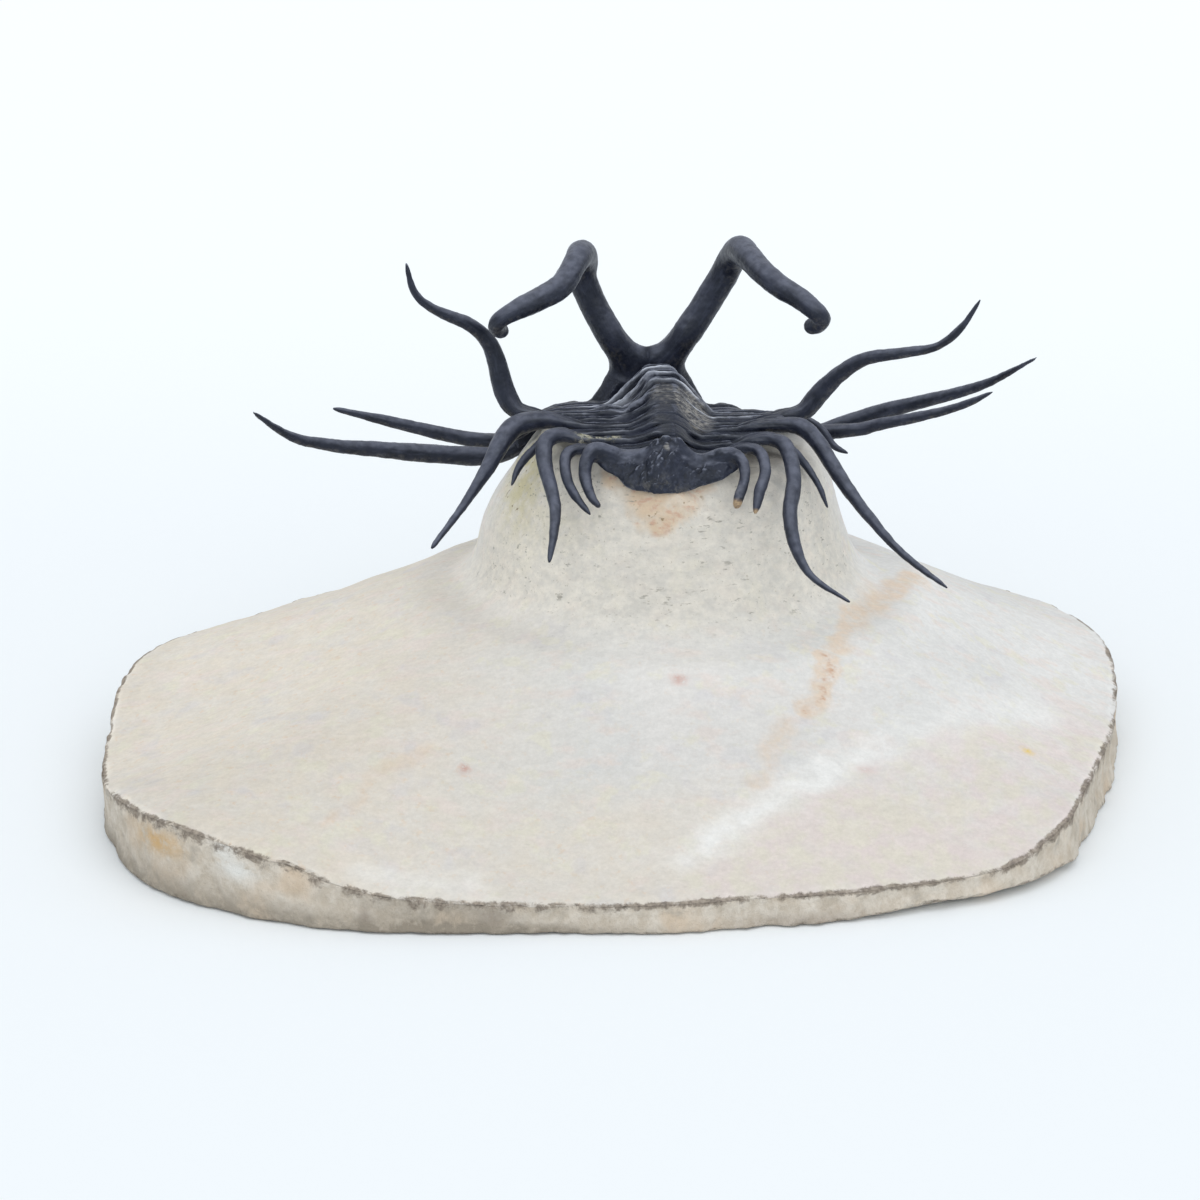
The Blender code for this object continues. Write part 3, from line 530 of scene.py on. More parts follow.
def voxel_union(name, parts, size):
    """One mesh, in millimetres, of closed meshes that cross each other."""
    joined = bmesh.new()
    for part in parts:
        joined.from_mesh(part)
    mesh = bpy.data.meshes.new(name)
    joined.to_mesh(mesh)
    joined.free()
    work = bpy.data.objects.new(name, mesh)
    bpy.context.scene.collection.objects.link(work)
    remesh = work.modifiers.new("union", "REMESH")
    remesh.mode = "VOXEL"
    remesh.voxel_size = size
    remesh.adaptivity = 0.0
    bpy.context.view_layer.update()
    graph = bpy.context.evaluated_depsgraph_get()
    result = bpy.data.meshes.new_from_object(work.evaluated_get(graph), depsgraph=graph)
    bpy.data.objects.remove(work, do_unlink=True)
    bpy.data.meshes.remove(mesh)
    return result


# Materials

class Recipe:
    """Short names for the nodes that the materials are made of."""

    def __init__(self, name):
        self.material = bpy.data.materials.new(name)
        self.material.use_nodes = True
        self.tree = self.material.node_tree
        coord = self.add("ShaderNodeTexCoord", "Object")
        self.place = self.vector("SCALE", coord, scale=1.0 / MM)

    def fill(self, node, sockets):
        """Link or set a node's inputs, by number or by name with _ for a space."""
        for key, value in sockets.items():
            socket = node.inputs[key if isinstance(key, int) else key.replace("_", " ")]
            if isinstance(value, bpy.types.NodeSocket):
                self.tree.links.new(value, socket)
            elif socket.type == "RGBA":
                socket.default_value = (*value, 1.0)
            else:
                socket.default_value = value

    def add(self, kind, output, props=(), numbered=(), **named):
        node = self.tree.nodes.new(kind)
        for key, value in dict(props).items():
            setattr(node, key, value)
        self.fill(node, dict(enumerate(numbered)) | named)
        return node.outputs[output]

    def vector(self, operation, first, second=(0.0, 0.0, 0.0), scale=1.0):
        return self.add("ShaderNodeVectorMath", 0, {"operation": operation},
                        (first, second, (0.0, 0.0, 0.0), scale))

    def math(self, operation, first, second):
        return self.add("ShaderNodeMath", 0, {"operation": operation}, (first, second))

    def times(self, first, *more):
        for value in more:
            first = self.math("MULTIPLY", first, value)
        return first

    def stored(self, name, output="Fac"):
        return self.add("ShaderNodeAttribute", output, {"attribute_name": name})

    def noise(self, size, place=None, detail=3.0, rough=0.5, stretch=None, warp=0.0):
        """Noise whose blobs are about size millimetres across."""
        place = place or self.place
        if stretch:
            place = self.vector("MULTIPLY", place, stretch)
        return self.add("ShaderNodeTexNoise", "Fac", Vector=place, Scale=1.0 / size,
                        Detail=detail, Roughness=rough, Distortion=warp)

    def cells(self, size):
        return self.add("ShaderNodeTexVoronoi", "Distance", Vector=self.place, Scale=1.0 / size)

    def span(self, value, low, high, out_low=0.0, out_high=1.0):
        """Ease a value from low..high to out_low..out_high, held inside those."""
        return self.add("ShaderNodeMapRange", "Result", {"interpolation_type": "SMOOTHSTEP"},
                        Value=value, From_Min=low, From_Max=high, To_Min=out_low,
                        To_Max=out_high)

    def mix(self, share, first, second, blend="MIX"):
        node = self.tree.nodes.new("ShaderNodeMix")
        node.data_type = "RGBA"
        node.blend_type = blend
        self.fill(node, {0: share, 6: first, 7: second})
        return node.outputs[2]

    def tones(self, pattern, low, high, first, second):
        """Two tones, the second where the pattern is high."""
        return self.mix(self.span(pattern, low, high), first, second)

    def layers(self, colour, *rows):
        """Lay tones over a colour, each by the product of its factors.

        A factor is a stored value's name, a span's arguments, or a socket or number.
        """
        for tone, *factors in rows:
            found = [self.stored(f) if isinstance(f, str)
                     else self.span(*f) if isinstance(f, tuple) else f for f in factors]
            colour = self.mix(self.times(*found), colour, tone)
        return colour

    def bump(self, height, strength, depth, under=None):
        named = {"Normal": under} if under else {}
        return self.add("ShaderNodeBump", "Normal", Height=height, Strength=strength,
                        Distance=depth * MM, **named)

    def done(self, **sockets):
        self.fill(self.tree.nodes["Principled BSDF"], sockets)
        return self.material


def srgb(red, green, blue):
    """A colour as it is seen, 0 to 255, in linear light."""
    return tuple(c / 12.92 if c <= 0.04045 else ((c + 0.055) / 1.055) ** 2.4
                 for c in (red / 255.0, green / 255.0, blue / 255.0))


def stone_material():
    r = Recipe("limestone")
    elsewhere = r.vector("ADD", r.place, (31.0, 7.0, 3.0))
    wide, flat, long = (0.6, 1.0, 1.0), (0.65, 1.0, 1.3), (0.42, 1.0, 1.5)
    broad = r.noise(15.0, warp=0.3)
    middle = r.noise(3.6, detail=4.0, rough=0.6, warp=0.3)
    fine = r.noise(0.45, detail=4.0, rough=0.65)
    streaks = r.noise(1.1, detail=5.0, rough=0.66, stretch=flat)
    patchy = r.noise(2.3, elsewhere, rough=0.55, stretch=wide)
    blots = r.noise(0.9, elsewhere, 4.0, 0.6, warp=0.2)
    lilac = r.noise(4.2, elsewhere, warp=0.3)
    cream = r.noise(3.1, elsewhere, rough=0.6)
    mottle = r.noise(1.1, elsewhere, 5.0, 0.65, stretch=(0.7, 1.0, 1.0))
    torn = r.noise(1.7, detail=5.0, rough=0.65, warp=0.15)
    thread = r.noise(0.9, detail=4.0, rough=0.6, stretch=wide)
    vein = r.stored("vein")

    # The clean stone with its veins and stains
    colour = r.layers(
        r.tones(broad, 0.36, 0.64, srgb(215, 215, 213), srgb(221, 219, 216)),
        (srgb(223, 223, 222), "clear", (broad, 0.30, 0.62, 0.4, 1.0)),
        (srgb(221, 213, 200), "warmth", (middle, 0.25, 0.7, 0.55, 1.0)),
        (srgb(225, 213, 206), (patchy, 0.50, 0.70, 0.0, 0.55)),
        (srgb(221, 199, 176), (blots, 0.57, 0.72, 0.0, 0.55),
         r.math("MAXIMUM", r.stored("warmth"), 0.35)),
        (srgb(207, 205, 209), (lilac, 0.56, 0.72, 0.0, 0.4)),
        (srgb(222, 219, 200), (cream, 0.54, 0.68, 0.0, 0.5)),
        (r.tones(cream, 0.4, 0.62, srgb(224, 213, 210), srgb(222, 216, 204)),
         "peach", (middle, 0.3, 0.65, 0.45, 0.95)),
        (srgb(237, 237, 235), "pale", (middle, 0.30, 0.60, 0.45, 0.95)),
        (r.tones(mottle, 0.32, 0.66, srgb(198, 194, 185), srgb(217, 211, 199)), "neck", 0.75),
        (srgb(221, 203, 184), (vein, 0.12, 0.75), (torn, 0.30, 0.60, 0.3, 0.85)),
        (srgb(196, 156, 128), (vein, 0.95, 1.35), (thread, 0.44, 0.62, 0.1, 0.8)),
        (srgb(207, 187, 163), "ochre", (torn, 0.28, 0.60, 0.45, 1.0)),
        (srgb(196, 160, 140), "ochre", (thread, 0.52, 0.66, 0.0, 0.8)),
        (srgb(203, 196, 164), "moss", (torn, 0.34, 0.60, 0.1, 0.8)),
        # Grey patches high on the neck
        (srgb(160, 161, 160), "grey_patch", (torn, 0.34, 0.62, 0.1, 0.8)),
        (srgb(196, 150, 138), "rust", (fine, 0.3, 0.5)),
        (srgb(226, 196, 96), "spot", (fine, 0.3, 0.5)))
    # The stored tone is painted light and shade, laid over the streaks and grain
    shade = r.times(r.span(streaks, 0.30, 0.72, 0.955, 1.03),
                    r.span(fine, 0.3, 0.72, 0.95, 1.035), r.stored("tone"))
    grey = r.add("ShaderNodeCombineColor", "Color", Red=shade, Green=shade, Blue=shade)
    colour = r.mix(1.0, colour, grey, "MULTIPLY")

    # Short dark dashes of relic bedding, most of them round the neck, and specks in the stains
    dash = r.noise(0.62, elsewhere, 4.0, 0.6, stretch=long)
    fleck = r.noise(0.26, elsewhere, rough=0.6)
    speck = r.noise(0.5, elsewhere, 2.0, stretch=wide)
    colour = r.layers(
        colour,
        (srgb(142, 139, 130), (dash, 0.60, 0.70), (r.noise(3.6, detail=2.0), 0.42, 0.56),
         r.math("MAXIMUM", r.stored("neck"), 0.12), 0.75),
        (srgb(150, 142, 122), "neck", 0.6, (fleck, 0.64, 0.72)),
        (srgb(132, 112, 82), (speck, 0.66, 0.74),
         r.math("MAXIMUM", r.stored("ochre"), r.stored("moss")), 0.8))

    # The broken side with painted shade low on it, the crust along its upper edge, and a painted
    # shadow line along its foot
    rough_side = r.noise(1.7, detail=6.0, rough=0.7, stretch=(1.0, 1.0, 0.8))
    side = r.layers(
        r.tones(rough_side, 0.32, 0.68, srgb(194, 183, 167), srgb(221, 213, 201)),
        (srgb(212, 191, 166), (r.noise(6.0), 0.50, 0.70, 0.0, 0.6)),
        (srgb(176, 170, 160), (r.noise(3.4, elsewhere, 4.0), 0.58, 0.72, 0.0, 0.7)),
        (srgb(230, 229, 224), "chip", (torn, 0.36, 0.50)),
        (srgb(208, 174, 126), "amber", (torn, 0.32, 0.56)),
        # Painted shadow at the foot of the front side
        (srgb(112, 98, 90), "base_shadow", 0.8),
        # Painted shade low on the side
        (srgb(150, 141, 128), "low", (torn, 0.3, 0.6, 0.35, 0.9)))
    ragged = r.span(r.noise(1.5, detail=5.0, rough=0.7, warp=0.3), 0.3, 0.7, -0.45, 0.30)
    line = r.math("ADD", r.stored("crust_and_foot_shadow"), ragged)
    # Dark crust along the upper edge, and the painted shadow line along the foot
    colour = r.layers(
        colour, (side, "flank"),
        (r.tones(fine, 0.35, 0.65, srgb(112, 102, 93), srgb(158, 147, 134)),
         (line, 0.30, 0.80), 0.88))

    normal = r.bump(r.noise(0.28, rough=0.6), 0.35, 0.09)
    normal = r.bump(r.span(r.cells(0.8), 0.0, 0.35), 0.12, 0.12, normal)
    normal = r.bump(streaks, 0.25, 0.22, normal)
    normal = r.bump(r.times(rough_side, r.stored("flank")), 0.8, 0.7, normal)
    return r.done(Base_Color=colour, Roughness=r.span(middle, 0.3, 0.7, 0.78, 0.92),
                  Normal=normal, Specular_IOR_Level=0.25)


def shell_material():
    r = Recipe("shell")
    grain = r.stored("grain", "Vector")
    cloud = r.noise(2.6, detail=4.0, rough=0.6, warp=0.4)
    along = r.noise(0.55, grain, 4.0, 0.65)
    fine = r.noise(0.2, rough=0.65)
    rub = r.noise(0.7, detail=5.0, rough=0.7, warp=0.3)
    scales = r.noise(0.42, detail=4.0, rough=0.65, stretch=(0.4, 1.0, 1.2))
    lip_noise = r.noise(0.6, grain, 4.0, 0.7)
    crumbs = r.noise(0.5, detail=4.0, rough=0.7)
    ridge = r.stored("ridge")
    worn = r.times(r.stored("worn"), r.span(rub, 0.34, 0.56, 0.2, 0.95))
    wear_and_highlight = r.math("ADD", ridge, r.span(fine, 0.3, 0.7, -0.2, 0.15))
    colour = r.layers(
        r.tones(cloud, 0.32, 0.70, (0.006, 0.008, 0.016), (0.020, 0.024, 0.042)),
        ((0.070, 0.080, 0.122), (along, 0.46, 0.74, 0.0, 0.34)),
        # Painted light: the upward faces of the horns and spines are paler, as lit from above
        ((0.175, 0.190, 0.250), "upper", (r.noise(0.9), 0.30, 0.70, 0.36, 0.70)),
        # Painted shade in the hollows and creases of the shell
        ((0.007, 0.008, 0.013), (ridge, -0.15, -0.9, 0.0, 0.75)),
        # Raised edges paler: wear, and a painted highlight
        ((0.22, 0.24, 0.31), (wear_and_highlight, 0.25, 0.95), 0.62),
        (r.tones(scales, 0.40, 0.62, srgb(80, 81, 86), srgb(163, 160, 154)), worn),
        # Bright lips of the rings: wear and a painted highlight
        ((0.74, 0.79, 0.90), "lip", (lip_noise, 0.34, 0.62, 0.1, 1.0)),
        (r.tones(rub, 0.40, 0.56, srgb(138, 135, 106), srgb(184, 182, 164)),
         "clay", (crumbs, 0.42, 0.54)),
        (r.tones(rub, 0.4, 0.6, srgb(124, 106, 86), srgb(172, 148, 116)), "tip"),
        (srgb(150, 145, 134), "dust", (rub, 0.46, 0.66, 0.0, 0.8)))
    normal = r.bump(fine, 0.4, 0.06)
    normal = r.bump(r.cells(0.42), 0.3, 0.08, normal)
    normal = r.bump(along, 0.5, 0.12, normal)
    rough = r.math("ADD", r.span(cloud, 0.3, 0.7, 0.34, 0.48), r.times(worn, 0.35))
    return r.done(Base_Color=colour, Roughness=rough, Normal=normal, Specular_IOR_Level=0.33,
                  Specular_Tint=(0.86, 0.93, 1.0), Sheen_Weight=0.09, Sheen_Roughness=0.35,
                  Sheen_Tint=(0.72, 0.82, 1.0))


# Thorax

# Cross-section of a band: place across it, and height of its upper face there
BAND_TOP = ((-1.18, -0.30), (-1.13, 0.30), (-1.06, 0.58), (-0.98, 0.60), (-0.88, 0.36),
            (-0.72, 0.16), (-0.36, 0.08), (-0.02, 0.02), (0.16, 0.04), (0.27, 0.24), (0.35, 0.27),
            (0.46, 0.12), (0.62, 0.00), (0.85, 0.02), (1.10, -0.04), (1.50, -0.24))
# The same where the shell is worn smooth
BAND_WORN = ((-1.18, -0.12), (-1.10, 0.08), (-0.92, 0.16), (-0.40, 0.17), (0.20, 0.16),
             (0.80, 0.14), (1.50, -0.04))
BAND_FRONT = 1.50
BAND_BACK = 1.18
BAND_UNDER = 0.6
# How fast the grain's pattern runs along a spine, which draws it out into streaks
GRAIN_PACE = 0.2
# How far apart in the pattern two tubes lie, how near a tube counts, and points per search
GRAIN_APART = 7.0
TUBE_REACH = 4.0
SEARCH_BLOCK = 4000


def band_ring():
    """One ring of a band: places across and up, and the circle that a spine's ring has."""
    turns = 2.0 * np.pi * (np.arange(SIDES) + 0.5) / SIDES
    c, d = np.cos(turns), np.sin(turns)
    reach = np.sign(c) * np.abs(c) ** 0.8
    x = np.where(reach > 0.0, BAND_FRONT, BAND_BACK) * reach
    under = -BAND_UNDER * np.abs(d) ** 0.35
    tops = [np.where(d > 0.0, np.interp(x, *np.array(t).T), under) for t in (BAND_TOP, BAND_WORN)]
    return x, tops, c, d


def oval(u, s, at, size):
    """1 near a place on the back, fading to 0 at an oval round it."""
    return ramp(np.hypot((u - at[0]) / size[0], (s - at[1]) / size[1]), 1.0, 0.55)


def rubbed(u, s):
    """How far the rings of the axis are worn down: a smooth strip, and a patch beside it."""
    return np.maximum(0.95 * oval(u, s, (0.9, -2.2), (2.8, 8.4)),
                      0.85 * oval(u, s, (3.9, 0.6), (2.6, 5.4)))


def boldness(u, s):
    """How strongly the rings stand out: most on the axis's left flank, and little behind."""
    return (0.58 + 0.62 * oval(u, s, (-3.4, 5.6), (4.2, 7.5))
            + 0.25 * oval(u, s, (4.5, 7.5), (3.0, 4.0)))


def bright_lips(grain, places, tube):
    """Where the raised rear lips of the rings are paler: worn through their dark skin, and a
    painted highlight; most on the front ones.
    """
    u, s, _ = places.T
    line = np.exp(-((grain[:, 0] + 1.02) / 0.08) ** 2) * (grain[:, 1] > 0.0) * (1.0 - tube)
    front = ramp(s, 3.2, 6.2) * np.maximum(ramp(u, -9.5, -6.5) * ramp(u, 2.4, 1.2), 0.3)
    ridge = oval(u, s, (4.6, 4.6), (3.4, 4.0)) + 0.7 * oval(u, s, (9.5, 3.4), (5.5, 3.4))
    return line * np.clip(np.maximum(front, ridge), 0.22, 1.0) * ramp(s, -9.8, -7.0)


def band_half(s, side, last_u):
    """Points of one half of a band, from beside the middle line outwards."""
    stops = np.append(np.arange(0.4, 7.5, 0.5), np.arange(8.2, abs(last_u) - 1.0, 1.6))
    stops = [side * u for u in stops if u < abs(last_u) - 1.0]
    return [(u, s, float(back_height(u, s)), BAND_WIDTH, BAND_THICK, 1.0) for u in stops]


def spine_rows(points, start_share):
    """Rows of a spine, whose shape turns from a band's to a round one over its first points."""
    shares = [start_share, 0.45 * start_share] + [0.0] * (len(points) - 2)
    return [(u, s, h, ROUND * d, ROUND * d, share) for (u, s, h, d), share in zip(points, shares)]


def blunt_end(rows):
    """Shares that round off the last rings of a spine."""
    t = (np.arange(BLUNT_RINGS) + 0.35) / BLUNT_RINGS
    shares = np.ones(len(rows))
    shares[-BLUNT_RINGS:] = np.sqrt(1.0 - (1.0 - t) ** 2)[::-1]
    return shares


def sweep_half(rows, side):
    """Points of one half of a segment, from the middle line to the tip."""
    centres = rows[:, :3]
    u, s = rows[:, 0], rows[:, 1]
    _, across, up = ring_frames(centres, (0.0, 1.0, 0.0))
    up = up * side
    bx, (crisp, smooth), c, d = band_ring()
    share = np.clip(rows[:, 5], 0.0, 1.0)[:, None]
    worn = rubbed(u, s)[:, None]
    tilt = (back_height(u, s + 1.2) - back_height(u, s - 1.2))[:, None] / 2.4
    place = centres * np.array((1.0, 3.0, 0.0))
    uneven = field(place, 2.6, 41, 3)[:, None]
    bold = boldness(u, s)[:, None]
    relief = np.where(d > 0.0, crisp * bold * (1.0 + 0.7 * uneven), crisp)
    x = share * (bx + 0.10 * field(place, 3.4, 43, 2)[:, None] * (1.0 - bx * bx / 2.25))
    x = x + (1.0 - share) * 0.5 * rows[:, 3:4] * c
    level = np.where(d > 0.0, smooth + tilt * bx, smooth)
    z = share * (relief + (level - relief) * worn) + (1.0 - share) * 0.5 * rows[:, 4:5] * d
    taper = blunt_end(rows)[:, None]
    x, z = x * taper, z * taper
    places = (centres[:, None, :] + across[:, None, :] * x[..., None]
              + up[:, None, :] * z[..., None])
    run = np.broadcast_to(GRAIN_PACE * side * run_along(centres)[:, None], x.shape)
    return places, np.stack([x, z, run], axis=-1), np.broadcast_to(share, x.shape)


def segment_mesh(number):
    s = FIRST_SEGMENT_S - PITCH * (number - 1)
    left, right = [spine_rows(side, 0.7) for side in SPINES[number]]
    middle = [(0.0, s, float(back_height(0.0, s)), BAND_WIDTH, BAND_THICK, 1.0)]
    points = (left[::-1] + band_half(s, -1, left[0][0])[::-1] + middle
              + band_half(s, 1, right[0][0]) + right)
    rows = spline(points, SPINE_STEP)
    centre = int(np.argmin(np.abs(rows[:, 0])))
    right_half = sweep_half(rows[centre:], 1.0)
    left_half = sweep_half(rows[:centre][::-1], -1.0)
    places, grain, share = [np.concatenate([a[::-1], b]) for a, b in zip(left_half, right_half)]
    mesh = plain_mesh(f"segment_{number}", places.reshape(-1, 3), tube_faces(len(places), SIDES))
    return mesh, grain.reshape(-1, 3), share.reshape(-1)


def roughen(mesh, grain, tube, seed):
    """Work the fine relief of the shell into its mesh."""
    places, normals = read_mesh(mesh)
    lift = ((0.055 - 0.02 * tube) * field(places, 1.0, seed)
            + (0.10 - 0.05 * tube) * field(places, 3.0, seed + 1, 2))
    lift += tube * 0.03 * field(grain, 0.5, seed + 2) + 0.018 * field(places, 0.42, seed + 3, 2)
    move_points(mesh, places + normals * lift[:, None])


def dress_shell(mesh, grain, tube, seed, wear_and_highlight=1.0, lips=False):
    """Relief and stored values of a piece of shell, and its place in the world."""
    roughen(mesh, grain, tube, seed)
    ridge = ridge_and_hollow(mesh)
    ridge = ridge / (np.percentile(np.abs(ridge), 97.0) + 1e-9)
    places, normals = read_mesh(mesh)
    # Raised points are made paler by wear and a painted highlight, most on the front of the body
    edge_light_share = wear_and_highlight * (1.0 - 0.8 * tube) * (0.45 + 0.75 * ramp(places[:, 1], -3.0, 6.0))
    # Hollows keep their value for the painted shade, less of it on the tubes
    ridge = np.where(ridge > 0.0, ridge * edge_light_share, ridge * (1.0 - 0.5 * tube))
    # upper: where painted light makes the tops of the tubes paler
    give(mesh, "upper", tube * ramp(normals[:, 2], 0.15, 0.95))
    give(mesh, "grain", grain)
    give(mesh, "lip", bright_lips(grain, places, tube) if lips else np.zeros(len(places)))
    give(mesh, "ridge", np.clip(ridge, -1.0, 1.5))
    give(mesh, "worn", worn_patch(places))
    give(mesh, "clay", clay_gap(places))
    give(mesh, "tip", broken_tips(places))
    give(mesh, "dust", stone_dust(places, normals))
    move_points(mesh, to_world(places))


def worn_patch(places):
    """Where the shell is rubbed through to the stone: the axis's right flank, mostly."""
    u, s, h = places.T
    above = ramp(h - back_height(u, s), -0.9, -0.3)
    patch = oval(u, s, (3.7, 0.9), (2.5, 5.2))
    strip = 0.5 * oval(u, s, (0.6, 1.9), (1.9, 3.2))
    rear = 0.6 * oval(u, s, (-0.3, -12.1), (0.4, 0.35)) + 0.4 * oval(u, s, (4.3, 5.2), (1.5, 4.2))
    return above * np.clip(patch + strip + rear, 0.0, 1.0)


def clay_gap(places):
    """The stone's clay that is left between two segments, on the left."""
    u, s, _ = places.T
    line = ramp(np.abs(s + 6.7 + 0.35 * field(places, 1.6, 51, 2)), 1.1, 0.75)
    return line * ramp(u, -9.9, -9.0) * ramp(u, -4.4, -5.4)


def broken_tips(places):
    value = np.zeros(len(places))
    for tip, reach in ((SPINES[9][1][-1], 0.55), (TAIL_SPINES[1][-1], 1.25)):
        away = np.linalg.norm(places - np.array(tip[:3]), axis=1)
        value = np.maximum(value, ramp(away, reach, 0.6 * reach))
    return value


def stone_dust(places, normals):
    """A little of the stone's dust, low down and on the underside."""
    low = 0.25 * ramp(normals[:, 2], 0.1, -0.6)
    rear = 0.25 * ramp(places[:, 1], -13.2, -14.2) * ramp(np.abs(places[:, 0]), 8.0, 6.0)
    return np.clip(low + rear, 0.0, 1.0)


def make_segments(material):
    for number in range(1, SEGMENTS + 1):
        mesh, grain, share = segment_mesh(number)
        dress_shell(mesh, grain, 1.0 - share, SEED_STEP * number, lips=True)
        finish_piece(f"segment_{number}", mesh, f"thoracic_segment_{number}", material)


# Head and tail

def round_tube(name, points, step, sides):
    """Closed round tube, with the curve that it follows."""
    rows = spline(points, step)
    _, across, up = ring_frames(rows[:, :3], (0.0, 1.0, 0.0))
    turns = 2.0 * np.pi * (np.arange(sides) + 0.5) / sides
    radius = (0.5 * ROUND * rows[:, 3] * blunt_end(rows))[:, None]
    places = (rows[:, None, :3] + across[:, None, :] * (radius * np.cos(turns))[..., None]
              + up[:, None, :] * (radius * np.sin(turns))[..., None])
    return plain_mesh(name, places.reshape(-1, 3), tube_faces(len(rows), sides)), (rows, across, up)


def tube_grain(places, tubes):
    """Coordinates along the nearest tube for the grain, and how surely a point lies on a tube."""
    grain = places * 1.0
    share = np.zeros(len(places))
    for number, (rows, across, up) in enumerate(tubes):
        centres = rows[:, :3]
        run = run_along(centres)
        near = np.nonzero(np.all((places > centres.min(axis=0) - TUBE_REACH)
                                 & (places < centres.max(axis=0) + TUBE_REACH), axis=1))[0]
        for block in np.array_split(near, max(1, len(near) // SEARCH_BLOCK)):
            away = np.linalg.norm(places[block, None, :] - centres[None], axis=2)
            nearest = away.argmin(axis=1)
            off = places[block] - centres[nearest]
            radius = 0.5 * rows[nearest, 3]
            sure = ramp(away[np.arange(len(block)), nearest] / radius, 1.35, 1.08)
            take = sure > share[block]
            local = np.stack([(off * across[nearest]).sum(axis=1),
                              (off * up[nearest]).sum(axis=1),
                              GRAIN_PACE * run[nearest] + GRAIN_APART * number],
                             axis=1)
            grain[block[take]] = local[take]
            share[block[take]] = sure[take]
    return grain, share


def shield_mesh(name, plan, thick, height, relief, fill, step_s, across):
    """Closed plate of the back's form with relief on its upper face and filled in below."""
    rows = np.array(plan)
    places_s = np.arange(rows[:, 0].min(), rows[:, 0].max() + 1e-6, step_s)
    order = np.argsort(rows[:, 0])
    halves = np.interp(places_s, rows[order, 0], rows[order, 1])
    x = np.sin(0.5 * np.pi * np.linspace(-1.0, 1.0, across))
    half_thick = 0.5 * thick * np.sqrt(np.clip(1.0 - x ** 4, 0.0, 1.0))
    rings = []
    for s, half in zip(places_s, halves):
        u, along = half * x, np.full_like(x, s)
        top = height(u, s) + half_thick + relief(u, along, x)
        low = height(u, s) - half_thick - fill(u, along)
        rings.append(np.concatenate([np.stack([u, along, top], axis=1),
                                     np.stack([u, along, low], axis=1)[1:-1][::-1]]))
    rings = np.array(rings)
    return plain_mesh(name, rings.reshape(-1, 3), tube_faces(*rings.shape[:2]))


def dome(u, s, at, wide, long, power=2.0):
    """A rounded lobe, 1 at its middle and 0 outside."""
    away = np.abs((u - at[0]) / wide) ** power + np.abs((s - at[1]) / long) ** power
    return ramp(away ** (1.0 / power), 1.0, 0.35)


def head_relief(u, s, x):
    """Lobes and furrows of the head, which the photograph shows only from behind."""
    a = np.abs(u)
    lift = 0.9 * dome(a, s, (0.0, 19.6), 3.4, 5.0, 2.6)
    lift += 0.7 * dome(a, s, (5.4, 18.0), 2.0, 3.2)
    lift += 0.25 * dome(a, s, EYE_AT, 2.2, 2.4)
    lift -= 0.45 * np.exp(-((s - 15.6) / 0.4) ** 2) * ramp(a, 7.0, 5.0)
    lift -= 0.35 * np.exp(-((np.abs(x) - 0.86) / 0.045) ** 2)
    lift -= 2.9 * ramp(s, 14.3, 11.8) ** 1.3
    return lift


def head_fill(u, s):
    """Depth of the lobe behind the head, below its shell."""
    return 4.0 * ramp(np.abs(u), 9.4, 7.4) * ramp(s, 17.5, 15.5)


# Knobs of the tail: u, s, radius and height
TAIL_KNOBS = (
    (-0.3, -10.7, 0.9, 0.5), (-0.3, -12.2, 0.7, 0.4), (-0.4, -13.1, 0.6, 0.3),
    (-0.4, -13.7, 0.5, 0.2), (-1.6, -11.6, 0.9, 0.3), (1.1, -11.5, 0.9, 0.3),
    (-1.4, -12.7, 0.7, 0.25), (0.8, -12.7, 0.7, 0.25), (-2.6, -12.9, 0.5, 0.25),
    (-1.9, -13.5, 0.45, 0.25), (-1.1, -13.4, 0.45, 0.2), (2.9, -12.9, 0.45, 0.2),
    (4.1, -12.5, 0.5, 0.2), (-4.2, -12.5, 0.5, 0.2),
)
# Ribs of the tail: u and s of both ends, half-width and height
TAIL_RIBS = (
    (-1.5, -11.4, -4.0, -12.1, 0.42, 0.3), (-1.3, -12.3, -3.4, -13.0, 0.36, 0.22),
    (1.2, -11.3, 5.4, -12.1, 0.42, 0.42), (1.1, -12.3, 3.4, -13.1, 0.36, 0.22),
)


def tail_relief(u, s):
    lift = 0.35 * dome(u, s, (-0.2, -12.0), 1.9, 2.4)
    for at_u, at_s, radius, high in TAIL_KNOBS:
        lift = lift + high * dome(u, s, (at_u, at_s), radius, radius)
    for u0, s0, u1, s1, half, high in TAIL_RIBS:
        length = (u1 - u0) ** 2 + (s1 - s0) ** 2
        t = np.clip(((u - u0) * (u1 - u0) + (s - s0) * (s1 - s0)) / length, 0.0, 1.0)
        away = np.hypot(u - u0 - t * (u1 - u0), s - s0 - t * (s1 - s0))
        lift = lift + high * np.exp(-(away / half) ** 2) * (1.0 - 0.5 * t)
    return lift


def plain(u, *_):
    return np.zeros_like(u)


def border_spine_points(side, share):
    s = FIRST_BORDER_S + share * (LAST_BORDER_S - FIRST_BORDER_S)
    half = float(np.interp(s, *np.array(HEAD_PLAN).T))
    h = float(head_height(side * half, s))
    lean = Vector((side * (1.0 - 0.75 * share), 0.25 + 0.7 * share, -0.55)).normalized()
    root = Vector((side * (half - BORDER_SPINE_INSET), s, h + 0.1))
    tip = root + lean * (BORDER_SPINE_LENGTH + BORDER_SPINE_INSET)
    middle = root.lerp(tip, 0.55) + Vector((0.0, 0.0, 0.12))
    return [(*root, 2.0 * BORDER_SPINE_ROOT), (*middle, 1.5 * BORDER_SPINE_ROOT),
            (*tip, BORDER_SPINE_TIP)]


